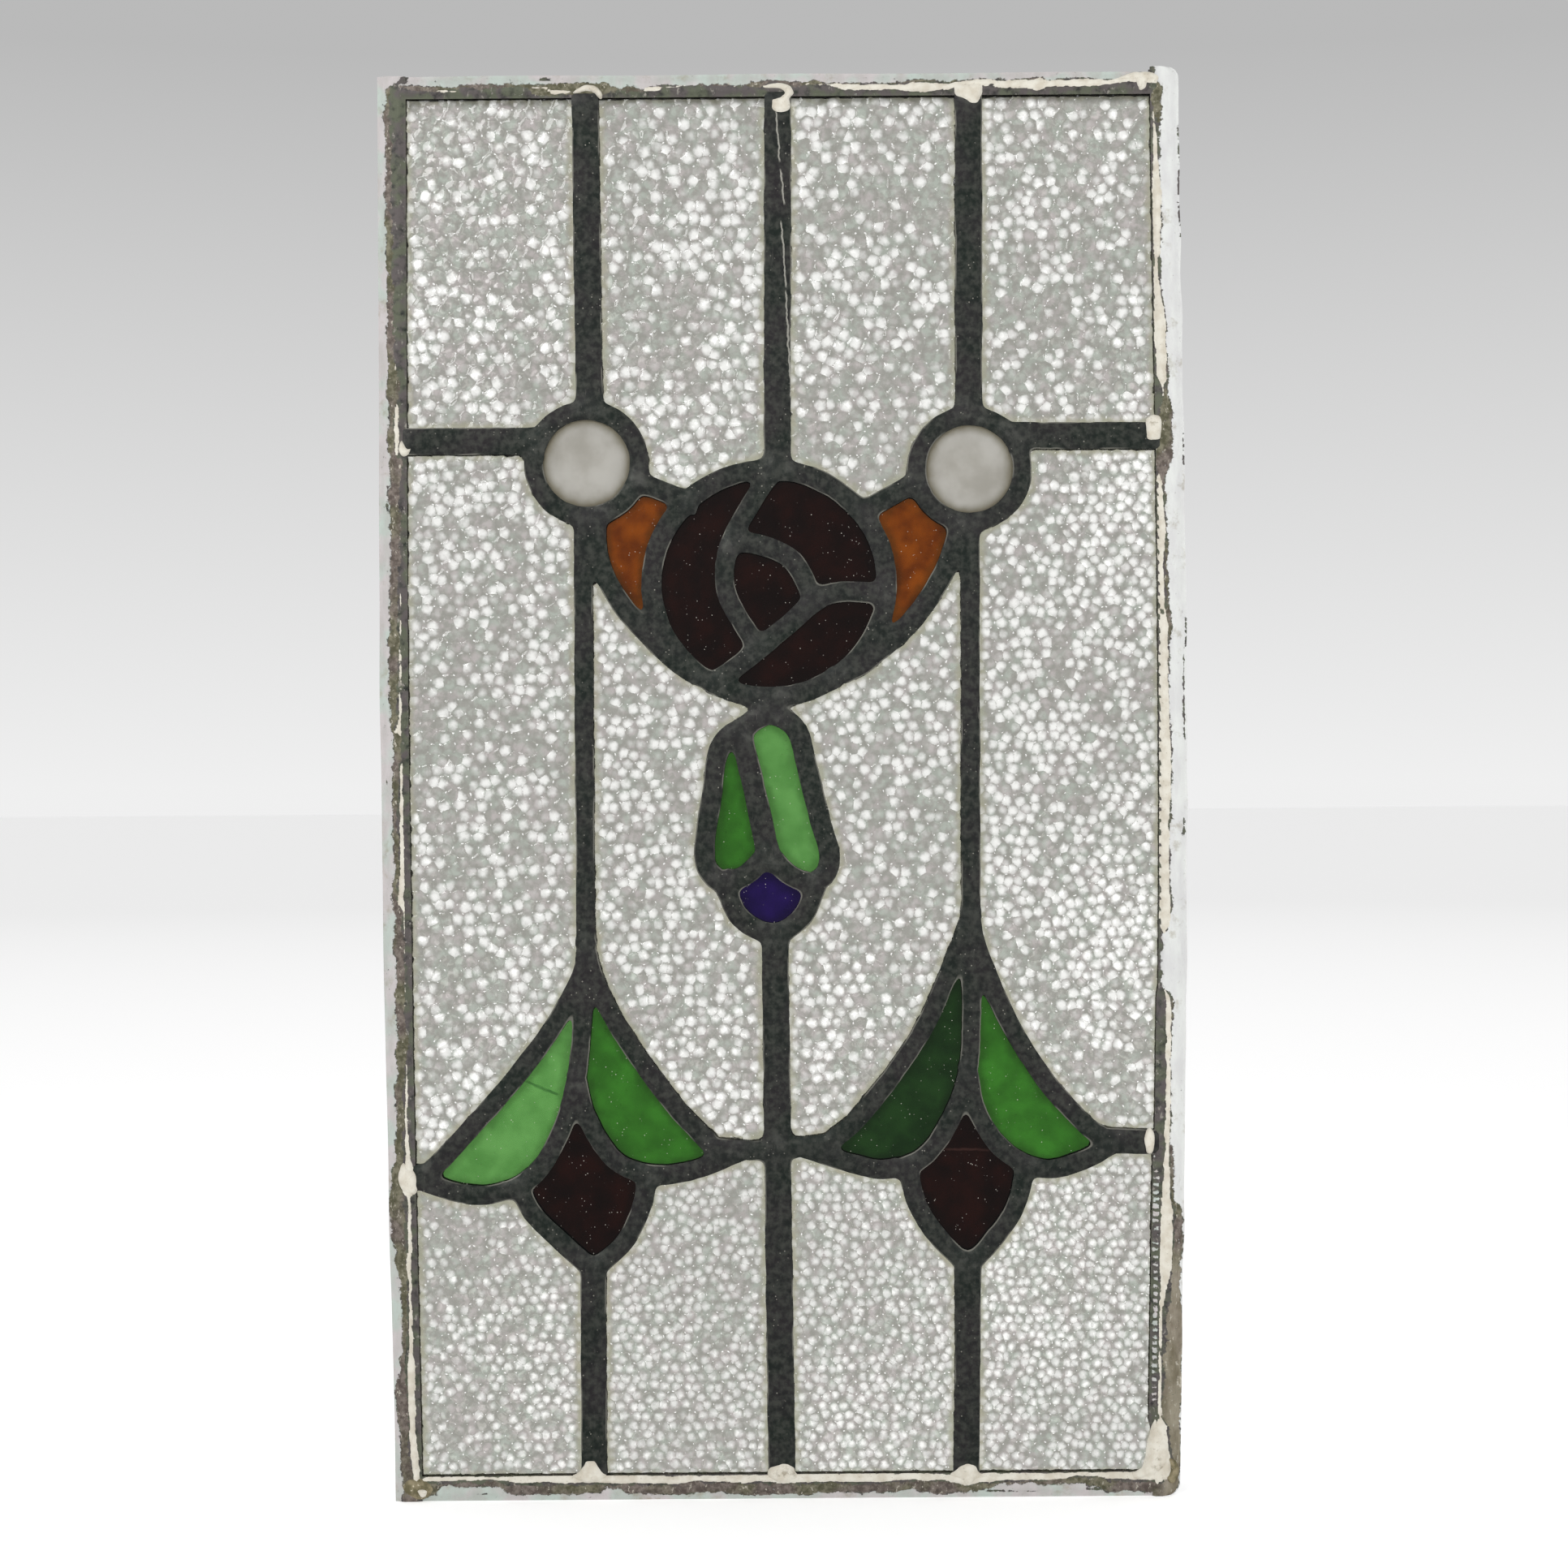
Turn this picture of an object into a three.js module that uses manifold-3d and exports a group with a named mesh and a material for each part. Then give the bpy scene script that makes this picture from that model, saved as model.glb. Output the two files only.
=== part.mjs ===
/*
 * A leaded light: a stained glass window panel of flat glass held in lead cames.
 *
 * Millimetres, +Z up. The front of the panel faces -Y. The origin is the middle of the foot
 * edge, halfway through the thickness, where the panel stands in its window opening.
 *
 * Every lead line of the design is a smooth curve through a few points given as [x, z] on the
 * face of the panel. A came is an H section swept along its line: two leaves joined by a heart.
 * The glass is one sheet, cut apart along the hearts of the cames, so that each pane sits with
 * its edges in the channels on both sides.
 */
import * as THREE from 'three';
import { mergeVertices } from 'three/addons/utils/BufferGeometryUtils.js';
import Module from 'manifold-3d';

const wasm = await Module();
wasm.setup();

// ---------------------------------------------------------------- driving dimensions

const HEIGHT = 635;
const HALF_WIDTH_HEAD = 178.5;
const HALF_WIDTH_FOOT = 175;
const SWELL_LEFT = 2.4; // the old side cames bow outwards at mid height
const SWELL_RIGHT = 3.5;
const RIGHT_CAME_OVERRUN = 2; // the right came stands a little higher than the head

const GLASS_THICKNESS = 3.6;
const GAP = 0.3; // play between glass and lead, and between one came and the next

const HEART = 1.6;
const LEAF_EDGE = 0.8;
const LEAF_CROWN = 1.5;
const LEAF_BACK = 1.3;

const BORDER = 12.6; // the two sides
const END_BORDER = 10; // the head and the foot
const WIDE = 12;
const NARROW = 8.4;
const CURVED = 9;
const BUD_NECK = 17; // the short wide length that hangs the bud on the rose

const BORDER_EDGE = 4.4; // thickness of the flat outer edge
const BORDER_SHOULDER = 4.5; // from the outer edge to the crown
const BORDER_BEVEL = 3; // from the crown to the inner edge
const BORDER_CHANNEL = 4.6; // depth of the sides' channel, which takes the glass

const CHANNEL = GLASS_THICKNESS / 2 + GAP; // half the width of a channel
const FACE = CHANNEL + LEAF_CROWN; // half the depth of the whole panel
const THROUGH = 2 * FACE; // reach of a cutter that goes right through

const ROUNDEL_RADIUS = 23.6; // to the middle of the came round a roundel
const ROUNDEL_LEFT = [-86.5, 462];
const ROUNDEL_RIGHT = [84.2, 458.3];
const ROSE = [-5.5, 408];
const ROSE_RADIUS = 50.7;
const ROSE_STRETCH = 1.035; // the rose is a little wider than it is high

const ROUNDEL_SIDES = 20;
const ROSE_SIDES = 24;

// ---------------------------------------------------------------- solids

function solid(geometry) {
  geometry.deleteAttribute('normal');
  geometry.deleteAttribute('uv');
  const welded = mergeVertices(geometry);
  return new wasm.Manifold(new wasm.Mesh({
    numProp: 3,
    vertProperties: welded.attributes.position.array,
    triVerts: new Uint32Array(welded.index.array),
  }));
}

const block = (x0, x1, z0, z1, depth) => {
  const box = new THREE.BoxGeometry(x1 - x0, depth, z1 - z0);
  return solid(box.translate((x0 + x1) / 2, 0, (z0 + z1) / 2));
};

const join = (bodies) => bodies.reduce((whole, body) => whole.add(body));
const trim = (body, cutters) => cutters.reduce((rest, cutter) => rest.subtract(cutter), body);

// ---------------------------------------------------------------- sections

const outline = (points) => points.map(([across, depth]) => new THREE.Vector2(across, depth));

/** The H section: leaves crowned in front and flat behind, and the heart between them. */
function cameSection(width) {
  const right = [
    [width / 4, -FACE],
    [width / 2, -CHANNEL - LEAF_EDGE],
    [width / 2, -CHANNEL],
    [HEART / 2, -CHANNEL],
    [HEART / 2, CHANNEL],
    [width / 2, CHANNEL],
    [width / 2, CHANNEL + LEAF_BACK],
  ];
  const left = right.map(([across, depth]) => [-across, depth]).reverse();
  return outline([...right, ...left]);
}

/**
 * The border's section: a channel on the glass side, dressed down to a flat outer edge. A narrower
 * came has the same outer edge and channel, and shorter leaves.
 */
function borderSection(width) {
  const outer = -BORDER / 2;
  const inner = outer + width;
  const front = [
    [outer, -BORDER_EDGE / 2],
    [outer + BORDER_SHOULDER, -FACE],
    [inner - BORDER_BEVEL, -FACE],
    [inner, -CHANNEL - LEAF_EDGE],
    [inner, -CHANNEL],
    [BORDER / 2 - BORDER_CHANNEL, -CHANNEL],
  ];
  const back = front.map(([across, depth]) => [across, -depth]).reverse();
  return outline([...front, ...back]);
}

/** A strip from one distance across the line to another, cut right through the panel. */
const strip = (from, to) => outline([
  [from, -THROUGH],
  [to, -THROUGH],
  [to, THROUGH],
  [from, THROUGH],
]);

const evenStrip = (width) => strip(-width / 2, width / 2);

// ---------------------------------------------------------------- lead lines

/** A curve on the face of the panel. A section swept along it stays square to the face. */
class LeadLine extends THREE.CatmullRomCurve3 {
  constructor(...points) {
    super(points.map(([x, z]) => new THREE.Vector3(x, 0, z)));
  }

  computeFrenetFrames(steps) {
    const toBack = new THREE.Vector3(0, 1, 0);
    const share = Array.from({ length: steps + 1 }, (_, i) => i / steps);
    const tangents = share.map((u) => this.getTangentAt(u));
    const normals = tangents.map((tangent) => toBack.clone().cross(tangent));
    return { tangents, normals, binormals: tangents.map(() => toBack) };
  }
}

function sweep(line, steps, section) {
  const shape = new THREE.Shape(section);
  return solid(new THREE.ExtrudeGeometry(shape, { steps, extrudePath: line }));
}

function spin([x, z], radius, sides, stretch, section) {
  const profile = section.map(({ x: across, y }) => new THREE.Vector2(radius + across, y));
  const ring = new THREE.LatheGeometry([...profile, profile[0]], sides);
  return solid(ring.scale(stretch, 1, 1).translate(x, 0, z));
}

/** A came: its lead, the room that its neighbours leave for it, and its cut in the glass. */
const came = (width, steps, ...points) => {
  const line = new LeadLine(...points);
  return {
    lead: sweep(line, steps, cameSection(width)),
    room: sweep(line, steps, evenStrip(width + 2 * GAP)),
    cut: sweep(line, steps, evenStrip(HEART + 2 * GAP)),
  };
};

const ringCame = (centre, radius, sides, width, stretch = 1) => {
  const make = (section) => spin(centre, radius, sides, stretch, section);
  return {
    lead: make(cameSection(width)),
    room: make(evenStrip(width + 2 * GAP)),
    cut: make(evenStrip(HEART + 2 * GAP)),
  };
};

/** A border came runs with the glass on its right hand, seen from the front. */
const borderCame = (width, steps, ...points) => {
  const line = new LeadLine(...points);
  const beyond = -3 * BORDER;
  return {
    lead: sweep(line, steps, borderSection(width)),
    room: sweep(line, steps, strip(-BORDER / 2 - GAP, width - BORDER / 2 + GAP)),
    cut: sweep(line, steps, strip(beyond, BORDER / 2 - BORDER_CHANNEL + GAP)),
  };
};

/** Several cames soldered into one: their ends run into each other. */
const soldered = (...cames) => ({
  lead: join(cames.map(({ lead }) => lead)),
  room: join(cames.map(({ room }) => room)),
  cut: join(cames.map(({ cut }) => cut)),
});

const largest = (bodies) => bodies.reduce((a, b) => (a.volume() > b.volume() ? a : b));

/** The same came, cut back to where its neighbours begin. The offcuts past them drop away. */
const against = (piece, ...others) => ({
  ...piece,
  lead: largest(trim(piece.lead, others.map(({ room }) => room)).decompose()),
});

// ---------------------------------------------------------------- border

const MIDDLE = BORDER / 2; // from the panel's edge to the middle of a border came
const HALF_WIDTH_WAIST = (HALF_WIDTH_HEAD + HALF_WIDTH_FOOT) / 2;
const BORDER_STEPS = 6;
const SPARE = 4; // a line runs this far past an edge before it is cut square

function sideLine(side, swell) {
  const foot = [side * (HALF_WIDTH_FOOT - MIDDLE), -SPARE];
  const waist = [side * (HALF_WIDTH_WAIST - MIDDLE + swell), HEIGHT / 2];
  const head = [side * (HALF_WIDTH_HEAD - MIDDLE), HEIGHT + SPARE];
  return [foot, waist, head];
}

/** What a rounded corner takes off: the square corner outside its arc. */
function cornerWaste(x, z, radius, side, up) {
  const waste = new THREE.Shape();
  waste.absarc(0, 0, radius, 0, Math.PI / 2);
  waste.lineTo(0, radius + SPARE);
  waste.lineTo(radius + SPARE, radius + SPARE);
  waste.lineTo(radius + SPARE, 0);
  const options = { depth: 2 * THROUGH, bevelEnabled: false, curveSegments: 5 };
  const plug = new THREE.ExtrudeGeometry(waste, options).translate(0, 0, -THROUGH);
  const quarterTurn = { '1,1': 0, '-1,1': 1, '-1,-1': 2, '1,-1': 3 }[`${side},${up}`];
  plug.rotateZ(quarterTurn * Math.PI / 2);
  plug.rotateX(Math.PI / 2);
  return solid(plug.translate(x - side * radius, 0, z - up * radius));
}

function border() {
  const reach = HALF_WIDTH_HEAD + SPARE;
  const left = borderCame(BORDER, BORDER_STEPS, ...sideLine(-1, SWELL_LEFT));
  const rightLine = sideLine(1, SWELL_RIGHT).reverse();
  const right = borderCame(BORDER, BORDER_STEPS, ...rightLine);
  const topEnd = HALF_WIDTH_HEAD - MIDDLE;
  const headHeight = HEIGHT - MIDDLE;
  const top = borderCame(END_BORDER, 1, [-topEnd, headHeight], [topEnd, headHeight]);
  const footEnd = HALF_WIDTH_FOOT - MIDDLE;
  const foot = borderCame(END_BORDER, 1, [footEnd, MIDDLE], [-footEnd, MIDDLE]);
  const leftSpan = block(-reach, 0, 0, HEIGHT, THROUGH);
  const rightTop = HEIGHT + RIGHT_CAME_OVERRUN;
  const rightSpan = block(0, reach, 0, rightTop, THROUGH);
  const rounded = [
    cornerWaste(HALF_WIDTH_HEAD, rightTop, 5, 1, 1),
    cornerWaste(HALF_WIDTH_FOOT, 0, 6, 1, -1),
  ];
  return {
    left: { ...left, lead: left.lead.intersect(leftSpan) },
    right: { ...right, lead: trim(right.lead.intersect(rightSpan), rounded) },
    top: against(top, left, right),
    foot: against(foot, left, right),
  };
}

const { left, right, top, foot } = border();

// ---------------------------------------------------------------- the straight cames

const BAND = 472.5; // height of the two cross cames
const HEAD_LINE = HEIGHT - MIDDLE;
const LEFT_LINE = -(HALF_WIDTH_WAIST - MIDDLE);
const RIGHT_LINE = HALF_WIDTH_WAIST + SWELL_RIGHT - MIDDLE;
const STEM_LEFT_END = 244;
const STEM_RIGHT_END = 256;

const roundelLeft = ringCame(ROUNDEL_LEFT, ROUNDEL_RADIUS, ROUNDEL_SIDES, NARROW);
const roundelRight = ringCame(ROUNDEL_RIGHT, ROUNDEL_RADIUS, ROUNDEL_SIDES, NARROW);
const roseRing = ringCame(ROSE, ROSE_RADIUS, ROSE_SIDES, CURVED, ROSE_STRETCH);

const onRoundelLeft = ([dx, dz]) => [ROUNDEL_LEFT[0] + dx, ROUNDEL_LEFT[1] + dz];
const onRoundelRight = ([dx, dz]) => [ROUNDEL_RIGHT[0] + dx, ROUNDEL_RIGHT[1] + dz];

const headLeft = came(WIDE, 1, [-86, HEAD_LINE], onRoundelLeft([1.5, ROUNDEL_RADIUS]));
const headCentre = came(WIDE, 1, [0, HEAD_LINE], [-1.5, ROSE[1] + ROSE_RADIUS]);
const headRight = came(WIDE, 1, [85, HEAD_LINE], onRoundelRight([0, ROUNDEL_RADIUS]));
const crossLeft = came(WIDE, 1, [LEFT_LINE - SWELL_LEFT, BAND], [-107.5, BAND - 0.5]);
const crossRight = came(WIDE, 1, [RIGHT_LINE, BAND], [103.5, BAND + 0.5]);
const stemLeft = came(NARROW, 1, [-88.3, 438], [-88.4, STEM_LEFT_END]);
const stemRight = came(NARROW, 1, [84.3, 434], [83.4, STEM_RIGHT_END]);
const centre = came(WIDE, 1, [-4, 252], [-2.8, MIDDLE]);
const footLeft = came(WIDE - 0.6, 1, [-86.2, 105], [-86.4, MIDDLE]);
const footRight = came(WIDE - 0.6, 1, [81, 106], [79.6, MIDDLE]);

// ---------------------------------------------------------------- rose and bud

const sepalLeft = came(CURVED, 6,
  [-83, 439], [-80.8, 418], [-71.6, 399.6], [-53.5, 379.4], [-41.5, 369.4], [-33, 365]);
const sepalRight = came(CURVED, 6, [80.5, 436], [73, 413.5], [59, 392], [42, 376.5], [33, 370], [25, 367]);
const bridgeLeft = came(CURVED, 1, [-65, 454.5], [-38, 443.5]);
const bridgeRight = came(CURVED, 1, [62, 453.5], [35, 439]);

const petalLong = came(CURVED - 0.4, 6, [-3, 459], [-15, 441], [-24, 422], [-24.7, 405], [-10.5, 378.5]);
const petalLow = came(CURVED, 6, [47, 403], [21, 403], [0.5, 387.5], [-21.5, 370], [-31, 363.5]);
const petalMid = came(CURVED, 4, [-22.5, 427], [-8.5, 425], [5, 418], [15, 399]);

const budLeft = came(CURVED, 9,
  [-13, 347], [-27, 336.5], [-32, 312], [-35.2, 290], [-34, 281], [-27.5, 274.8], [-19, 276.8],
  [-7, 287]);
const budRight = came(CURVED, 11,
  [-20, 342], [-6, 349.5], [5.5, 343.5], [11, 325], [16.5, 302], [20.6, 286], [18.5, 278],
  [12.5, 274.4], [3, 277.8], [-6.5, 287]);
const budMid = came(WIDE - 2, 2, [-19, 342], [-14.5, 324], [-6.5, 286]);
const budCup = came(CURVED, 8, [-28, 278], [-19, 258.5], [-4, 252], [8, 259], [15.5, 275.5]);
const budNeck = came(BUD_NECK, 1, [-6.6, ROSE[1] - ROSE_RADIUS], [-6.6, 348]);
const bud = soldered(budLeft, budRight, budMid, budCup, budNeck);

// ---------------------------------------------------------------- tulips

/**
 * A tulip: two leaves that hang from the end of a stem, and a heart between them on a cup.
 * Its leaf cames end in two tips, and a short link runs from each tip to the next came. The
 * cames under the leaves run up to the links.
 */
function tulip(design) {
  const { head, fork, leftLeaf, rightLeaf, leftTip, rightTip } = design;
  const leaves = soldered(
    came(NARROW, 5, head, ...leftLeaf, leftTip),
    came(NARROW, 5, head, ...rightLeaf, rightTip),
    came(design.leftLink.width, 1, leftTip, design.leftLink.end),
    came(design.rightLink.width, 1, rightTip, design.rightLink.end),
  );
  const heart = soldered(
    came(NARROW, 8, head, fork, ...design.underLeft),
    came(NARROW, 7, fork, ...design.underRight),
  );
  const cup = soldered(
    came(NARROW, 3, ...design.cupLeft, design.base),
    came(NARROW, 3, ...design.cupRight, design.base),
  );
  return { leaves, heart, cup };
}

const tulipLeft = tulip({
  head: [-88.3, STEM_LEFT_END + 2],
  fork: [-93, 188],
  leftLeaf: [[-90, 235.5], [-103, 211.5], [-121.5, 187], [-152.5, 153]],
  leftTip: [-160.5, 145],
  leftLink: { width: WIDE - 1, end: [LEFT_LINE, 143.2] },
  rightLeaf: [[-85.8, 235.6], [-74.6, 211.7], [-49.5, 175.5]],
  rightTip: [-32, 156.5],
  rightLink: { width: NARROW, end: [-4, 154.5] },
  underLeft: [[-101, 162.5], [-114, 143.5], [-133, 136.3], [-148, 137.8], [-163, 143.2]],
  underRight: [[-88.5, 170.5], [-75, 150.5], [-58, 144.8], [-40, 147], [-20, 154.8]],
  cupLeft: [[-120.5, 142.5], [-112, 127], [-93, 108.5]],
  cupRight: [[-61.5, 146], [-64.5, 130], [-72, 115]],
  base: [-86, 102.5],
});

const tulipRight = tulip({
  head: [83.3, STEM_RIGHT_END + 2],
  fork: [81.5, 190],
  leftLeaf: [[78.3, 245.8], [63.6, 212.4], [51, 192.5], [30, 167]],
  leftTip: [19, 158],
  leftLink: { width: NARROW, end: [-4, 156] },
  rightLeaf: [[85.8, 246.6], [99.6, 212.5], [118, 183], [137, 163]],
  rightTip: [144, 158.5],
  rightLink: { width: WIDE - 1, end: [RIGHT_LINE, 157.4] },
  underLeft: [[74, 169], [61, 151.5], [43, 146.3], [25, 150.6], [9, 156]],
  underRight: [[86, 170.5], [98.5, 153.5], [116.5, 146], [132.8, 149.9], [146, 157]],
  cupLeft: [[54, 150], [58.5, 130.5], [69.5, 114]],
  cupRight: [[107.5, 149], [101.5, 128], [90, 112]],
  base: [81, 103.5],
});

const below = (height) => ({
  room: block(-HALF_WIDTH_HEAD, HALF_WIDTH_HEAD, height - GAP, HEIGHT, THROUGH),
});

// ---------------------------------------------------------------- lead pieces, as fitted

const leads = {
  border_left: left,
  border_right: right,
  border_top: top,
  border_foot: foot,
  came_head_left: against(headLeft, top, roundelLeft),
  came_head_centre: against(headCentre, top, roseRing),
  came_head_right: against(headRight, top, roundelRight),
  came_cross_left: against(crossLeft, left, roundelLeft),
  came_cross_right: against(crossRight, right, roundelRight),
  came_roundel_left: roundelLeft,
  came_roundel_right: roundelRight,
  came_stem_left: against(stemLeft, roundelLeft),
  came_stem_right: against(stemRight, roundelRight),
  came_sepal_left: against(sepalLeft, roundelLeft, stemLeft, roseRing),
  came_sepal_right: against(sepalRight, roundelRight, stemRight, roseRing),
  came_bridge_left: against(bridgeLeft, roundelLeft, roseRing),
  came_bridge_right: against(bridgeRight, roundelRight, roseRing),
  came_rose_ring: roseRing,
  came_petal_long: against(petalLong, roseRing, petalLow),
  came_petal_mid: against(petalMid, petalLong, petalLow),
  came_petal_low: against(petalLow, roseRing),
  came_bud: against(bud, roseRing),
  came_centre: against(centre, bud, foot),
  came_foot_left: against(footLeft, tulipLeft.cup, foot),
  came_foot_right: against(footRight, tulipRight.cup, foot),
  came_tulip_left_leaves: against(tulipLeft.leaves, below(STEM_LEFT_END), left, centre),
  came_tulip_left_heart: against(tulipLeft.heart, below(STEM_LEFT_END), tulipLeft.leaves),
  came_tulip_left_cup: against(tulipLeft.cup, tulipLeft.heart),
  came_tulip_right_leaves: against(tulipRight.leaves, below(STEM_RIGHT_END), right, centre),
  came_tulip_right_heart: against(tulipRight.heart, below(STEM_RIGHT_END), tulipRight.leaves),
  came_tulip_right_cup: against(tulipRight.cup, tulipRight.heart),
};

// ---------------------------------------------------------------- glass

const CLEAR = { color: 0xd9dedb, roughness: 0.1, metalness: 0, transparent: true, opacity: 0.45 };
const OPAL = { color: 0xd6d2ce, roughness: 0.25, metalness: 0 };
const AMBER = { color: 0x9a4a0c, roughness: 0.12, metalness: 0 };
const GARNET = { color: 0x2a0d0d, roughness: 0.12, metalness: 0 };
const GREEN = { color: 0x3f8a34, roughness: 0.12, metalness: 0 };
const DEEP_GREEN = { color: 0x1d4a1c, roughness: 0.12, metalness: 0 };
const VIOLET = { color: 0x24105c, roughness: 0.12, metalness: 0 };
const LEAD = { color: 0x3a3d40, roughness: 0.55, metalness: 0.5 };

/** Each pane: a point on it, and its glass. */
const panes = {
  pane_head_outer_left: [-130, 550, CLEAR],
  pane_head_inner_left: [-43, 540, CLEAR],
  pane_head_inner_right: [43, 540, CLEAR],
  pane_head_outer_right: [130, 550, CLEAR],
  pane_middle_outer_left: [-130, 320, CLEAR],
  pane_middle_inner_left: [-60, 300, CLEAR],
  pane_middle_inner_right: [60, 300, CLEAR],
  pane_middle_outer_right: [130, 320, CLEAR],
  pane_foot_outer_left: [-130, 60, CLEAR],
  pane_foot_inner_left: [-45, 60, CLEAR],
  pane_foot_inner_right: [38, 60, CLEAR],
  pane_foot_outer_right: [125, 60, CLEAR],
  roundel_left: [...ROUNDEL_LEFT, OPAL],
  roundel_right: [...ROUNDEL_RIGHT, OPAL],
  sepal_left: [-67, 425, AMBER],
  sepal_right: [61, 422, AMBER],
  rose_petal_left: [-38, 405, GARNET],
  rose_petal_right: [15, 430, GARNET],
  rose_petal_low: [15, 380, GARNET],
  rose_heart: [-10, 405, GARNET],
  bud_leaf_left: [-24, 300, GREEN],
  bud_leaf_right: [4, 310, GREEN],
  bud_tip: [-5, 265, VIOLET],
  tulip_left_leaf_left: [-125, 160, GREEN],
  tulip_left_leaf_right: [-70, 170, GREEN],
  tulip_left_heart: [-88, 140, GARNET],
  tulip_right_leaf_left: [50, 170, DEEP_GREEN],
  tulip_right_leaf_right: [110, 170, GREEN],
  tulip_right_heart: [81, 140, GARNET],
};

function cutGlass() {
  const sheet = block(-HALF_WIDTH_HEAD, HALF_WIDTH_HEAD, 0, HEIGHT, GLASS_THICKNESS);
  const pieces = trim(sheet, Object.values(leads).map(({ cut }) => cut)).decompose();
  if (pieces.length !== Object.keys(panes).length) {
    throw new Error(`the lead lines part the sheet into ${pieces.length} panes`);
  }
  return (x, z) => {
    const spot = block(x - 1, x + 1, z - 1, z + 1, GLASS_THICKNESS);
    return pieces.find((piece) => !piece.intersect(spot).isEmpty());
  };
}

// ---------------------------------------------------------------- the panel

function node(name, body, finish) {
  const { vertProperties, triVerts } = body.getMesh();
  const geometry = new THREE.BufferGeometry();
  geometry.setAttribute('position', new THREE.BufferAttribute(vertProperties, 3));
  geometry.setIndex(new THREE.BufferAttribute(triVerts, 1));
  geometry.computeVertexNormals();
  const mesh = new THREE.Mesh(geometry, new THREE.MeshStandardMaterial(finish));
  mesh.name = name;
  return mesh;
}

const panel = new THREE.Group();
for (const [name, { lead }] of Object.entries(leads)) {
  panel.add(node(name, lead, LEAD));
}
const paneAt = cutGlass();
for (const [name, [x, z, glass]] of Object.entries(panes)) {
  panel.add(node(name, paneAt(x, z), glass));
}

export default panel;
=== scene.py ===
"""The looks of a leaded light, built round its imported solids.

Lengths in the tables and in the shape code are millimetres, as in the solids' own source. A point
on the face of the panel is x to the right and z up, and depth is y, with the front towards -y.
The lead network is one relief: every came is a band along its line, the bands run into each other
as soldered joints do, and the relief is then parted into the cames that the solids have.
"""

import math

import bpy
import numpy as np
from mathutils import Matrix, Vector
from mathutils.geometry import delaunay_2d_cdt


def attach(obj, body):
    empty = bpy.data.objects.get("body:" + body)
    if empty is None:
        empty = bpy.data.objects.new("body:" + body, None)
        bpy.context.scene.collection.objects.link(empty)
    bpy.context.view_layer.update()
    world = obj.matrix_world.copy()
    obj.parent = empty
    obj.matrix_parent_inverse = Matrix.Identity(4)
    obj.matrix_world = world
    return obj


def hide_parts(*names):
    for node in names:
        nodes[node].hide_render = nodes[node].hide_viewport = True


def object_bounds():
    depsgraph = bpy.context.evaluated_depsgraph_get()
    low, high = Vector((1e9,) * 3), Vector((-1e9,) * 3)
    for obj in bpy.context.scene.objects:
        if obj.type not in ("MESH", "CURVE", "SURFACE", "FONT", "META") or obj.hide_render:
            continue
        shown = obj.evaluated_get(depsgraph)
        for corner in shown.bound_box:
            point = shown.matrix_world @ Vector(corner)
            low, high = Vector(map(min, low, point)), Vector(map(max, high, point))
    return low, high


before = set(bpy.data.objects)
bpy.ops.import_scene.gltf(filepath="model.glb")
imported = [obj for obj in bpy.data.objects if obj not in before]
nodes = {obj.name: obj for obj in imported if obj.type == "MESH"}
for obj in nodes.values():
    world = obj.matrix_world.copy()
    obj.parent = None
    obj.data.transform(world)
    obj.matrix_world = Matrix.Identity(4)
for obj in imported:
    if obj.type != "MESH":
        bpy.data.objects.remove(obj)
cad_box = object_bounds()

MM = 0.001

# ------------------------------------------------------------------ dimensions, as in the solids

HEIGHT = 635.0
HALF_WIDTH_HEAD = 178.5
HALF_WIDTH_FOOT = 175.0
HALF_WIDTH_WAIST = (HALF_WIDTH_HEAD + HALF_WIDTH_FOOT) / 2
SWELL_LEFT = 2.4
SWELL_RIGHT = 3.5
RIGHT_CAME_OVERRUN = 2.0
CORNER_HEAD = 5.0
CORNER_FOOT = 6.0

BORDER = 12.6
END_BORDER = 10.0
MIDDLE = BORDER / 2
BORDER_SHOULDER = 4.5
BORDER_BEVEL = 3.0
CHANNEL_FLOOR = 8.0
BORDER_EDGE = 2.2

CHANNEL = 2.1
FACE = 3.6
BACK = 3.4
LEAF_EDGE = 0.8
GLASS_FACE = 1.8

WIDE = 12.0
NARROW = 8.4
CURVED = 9.0
BUD_NECK = 17.0

ROUNDEL_RADIUS = 23.6
ROUNDEL_LEFT = (-86.5, 462.0)
ROUNDEL_RIGHT = (84.2, 458.3)
ROSE = (-5.5, 408.0)
ROSE_RADIUS = 50.7
ROSE_STRETCH = 1.035

BAND = 472.5
STEM_LEFT_END = 244.0
STEM_RIGHT_END = 256.0

# ------------------------------------------------------------------ noise


def hash_unit(i, j, seed):
    """A repeatable number from 0 to 1 for each pair of whole numbers."""
    n = (i * 374761393 + j * 668265263 + seed * 974634777) & 0x7FFFFFFF
    n = ((n ^ (n >> 13)) * 1274126177) & 0x7FFFFFFF
    return ((n ^ (n >> 16)) & 0xFFFF) / 65535.0


def noise(x, z, size, seed=0):
    """Smooth noise from -1 to 1 with lumps of that size."""
    u, v = np.asarray(x) / size, np.asarray(z) / size
    i, j = np.floor(u).astype(np.int64), np.floor(v).astype(np.int64)
    fu, fv = u - i, v - j
    su, sv = fu * fu * (3 - 2 * fu), fv * fv * (3 - 2 * fv)
    low = hash_unit(i, j, seed) * (1 - su) + hash_unit(i + 1, j, seed) * su
    high = hash_unit(i, j + 1, seed) * (1 - su) + hash_unit(i + 1, j + 1, seed) * su
    return 2 * (low * (1 - sv) + high * sv) - 1


def smoothstep(low, high, value):
    share = np.clip((value - low) / (high - low), 0, 1)
    return share * share * (3 - 2 * share)


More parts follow.
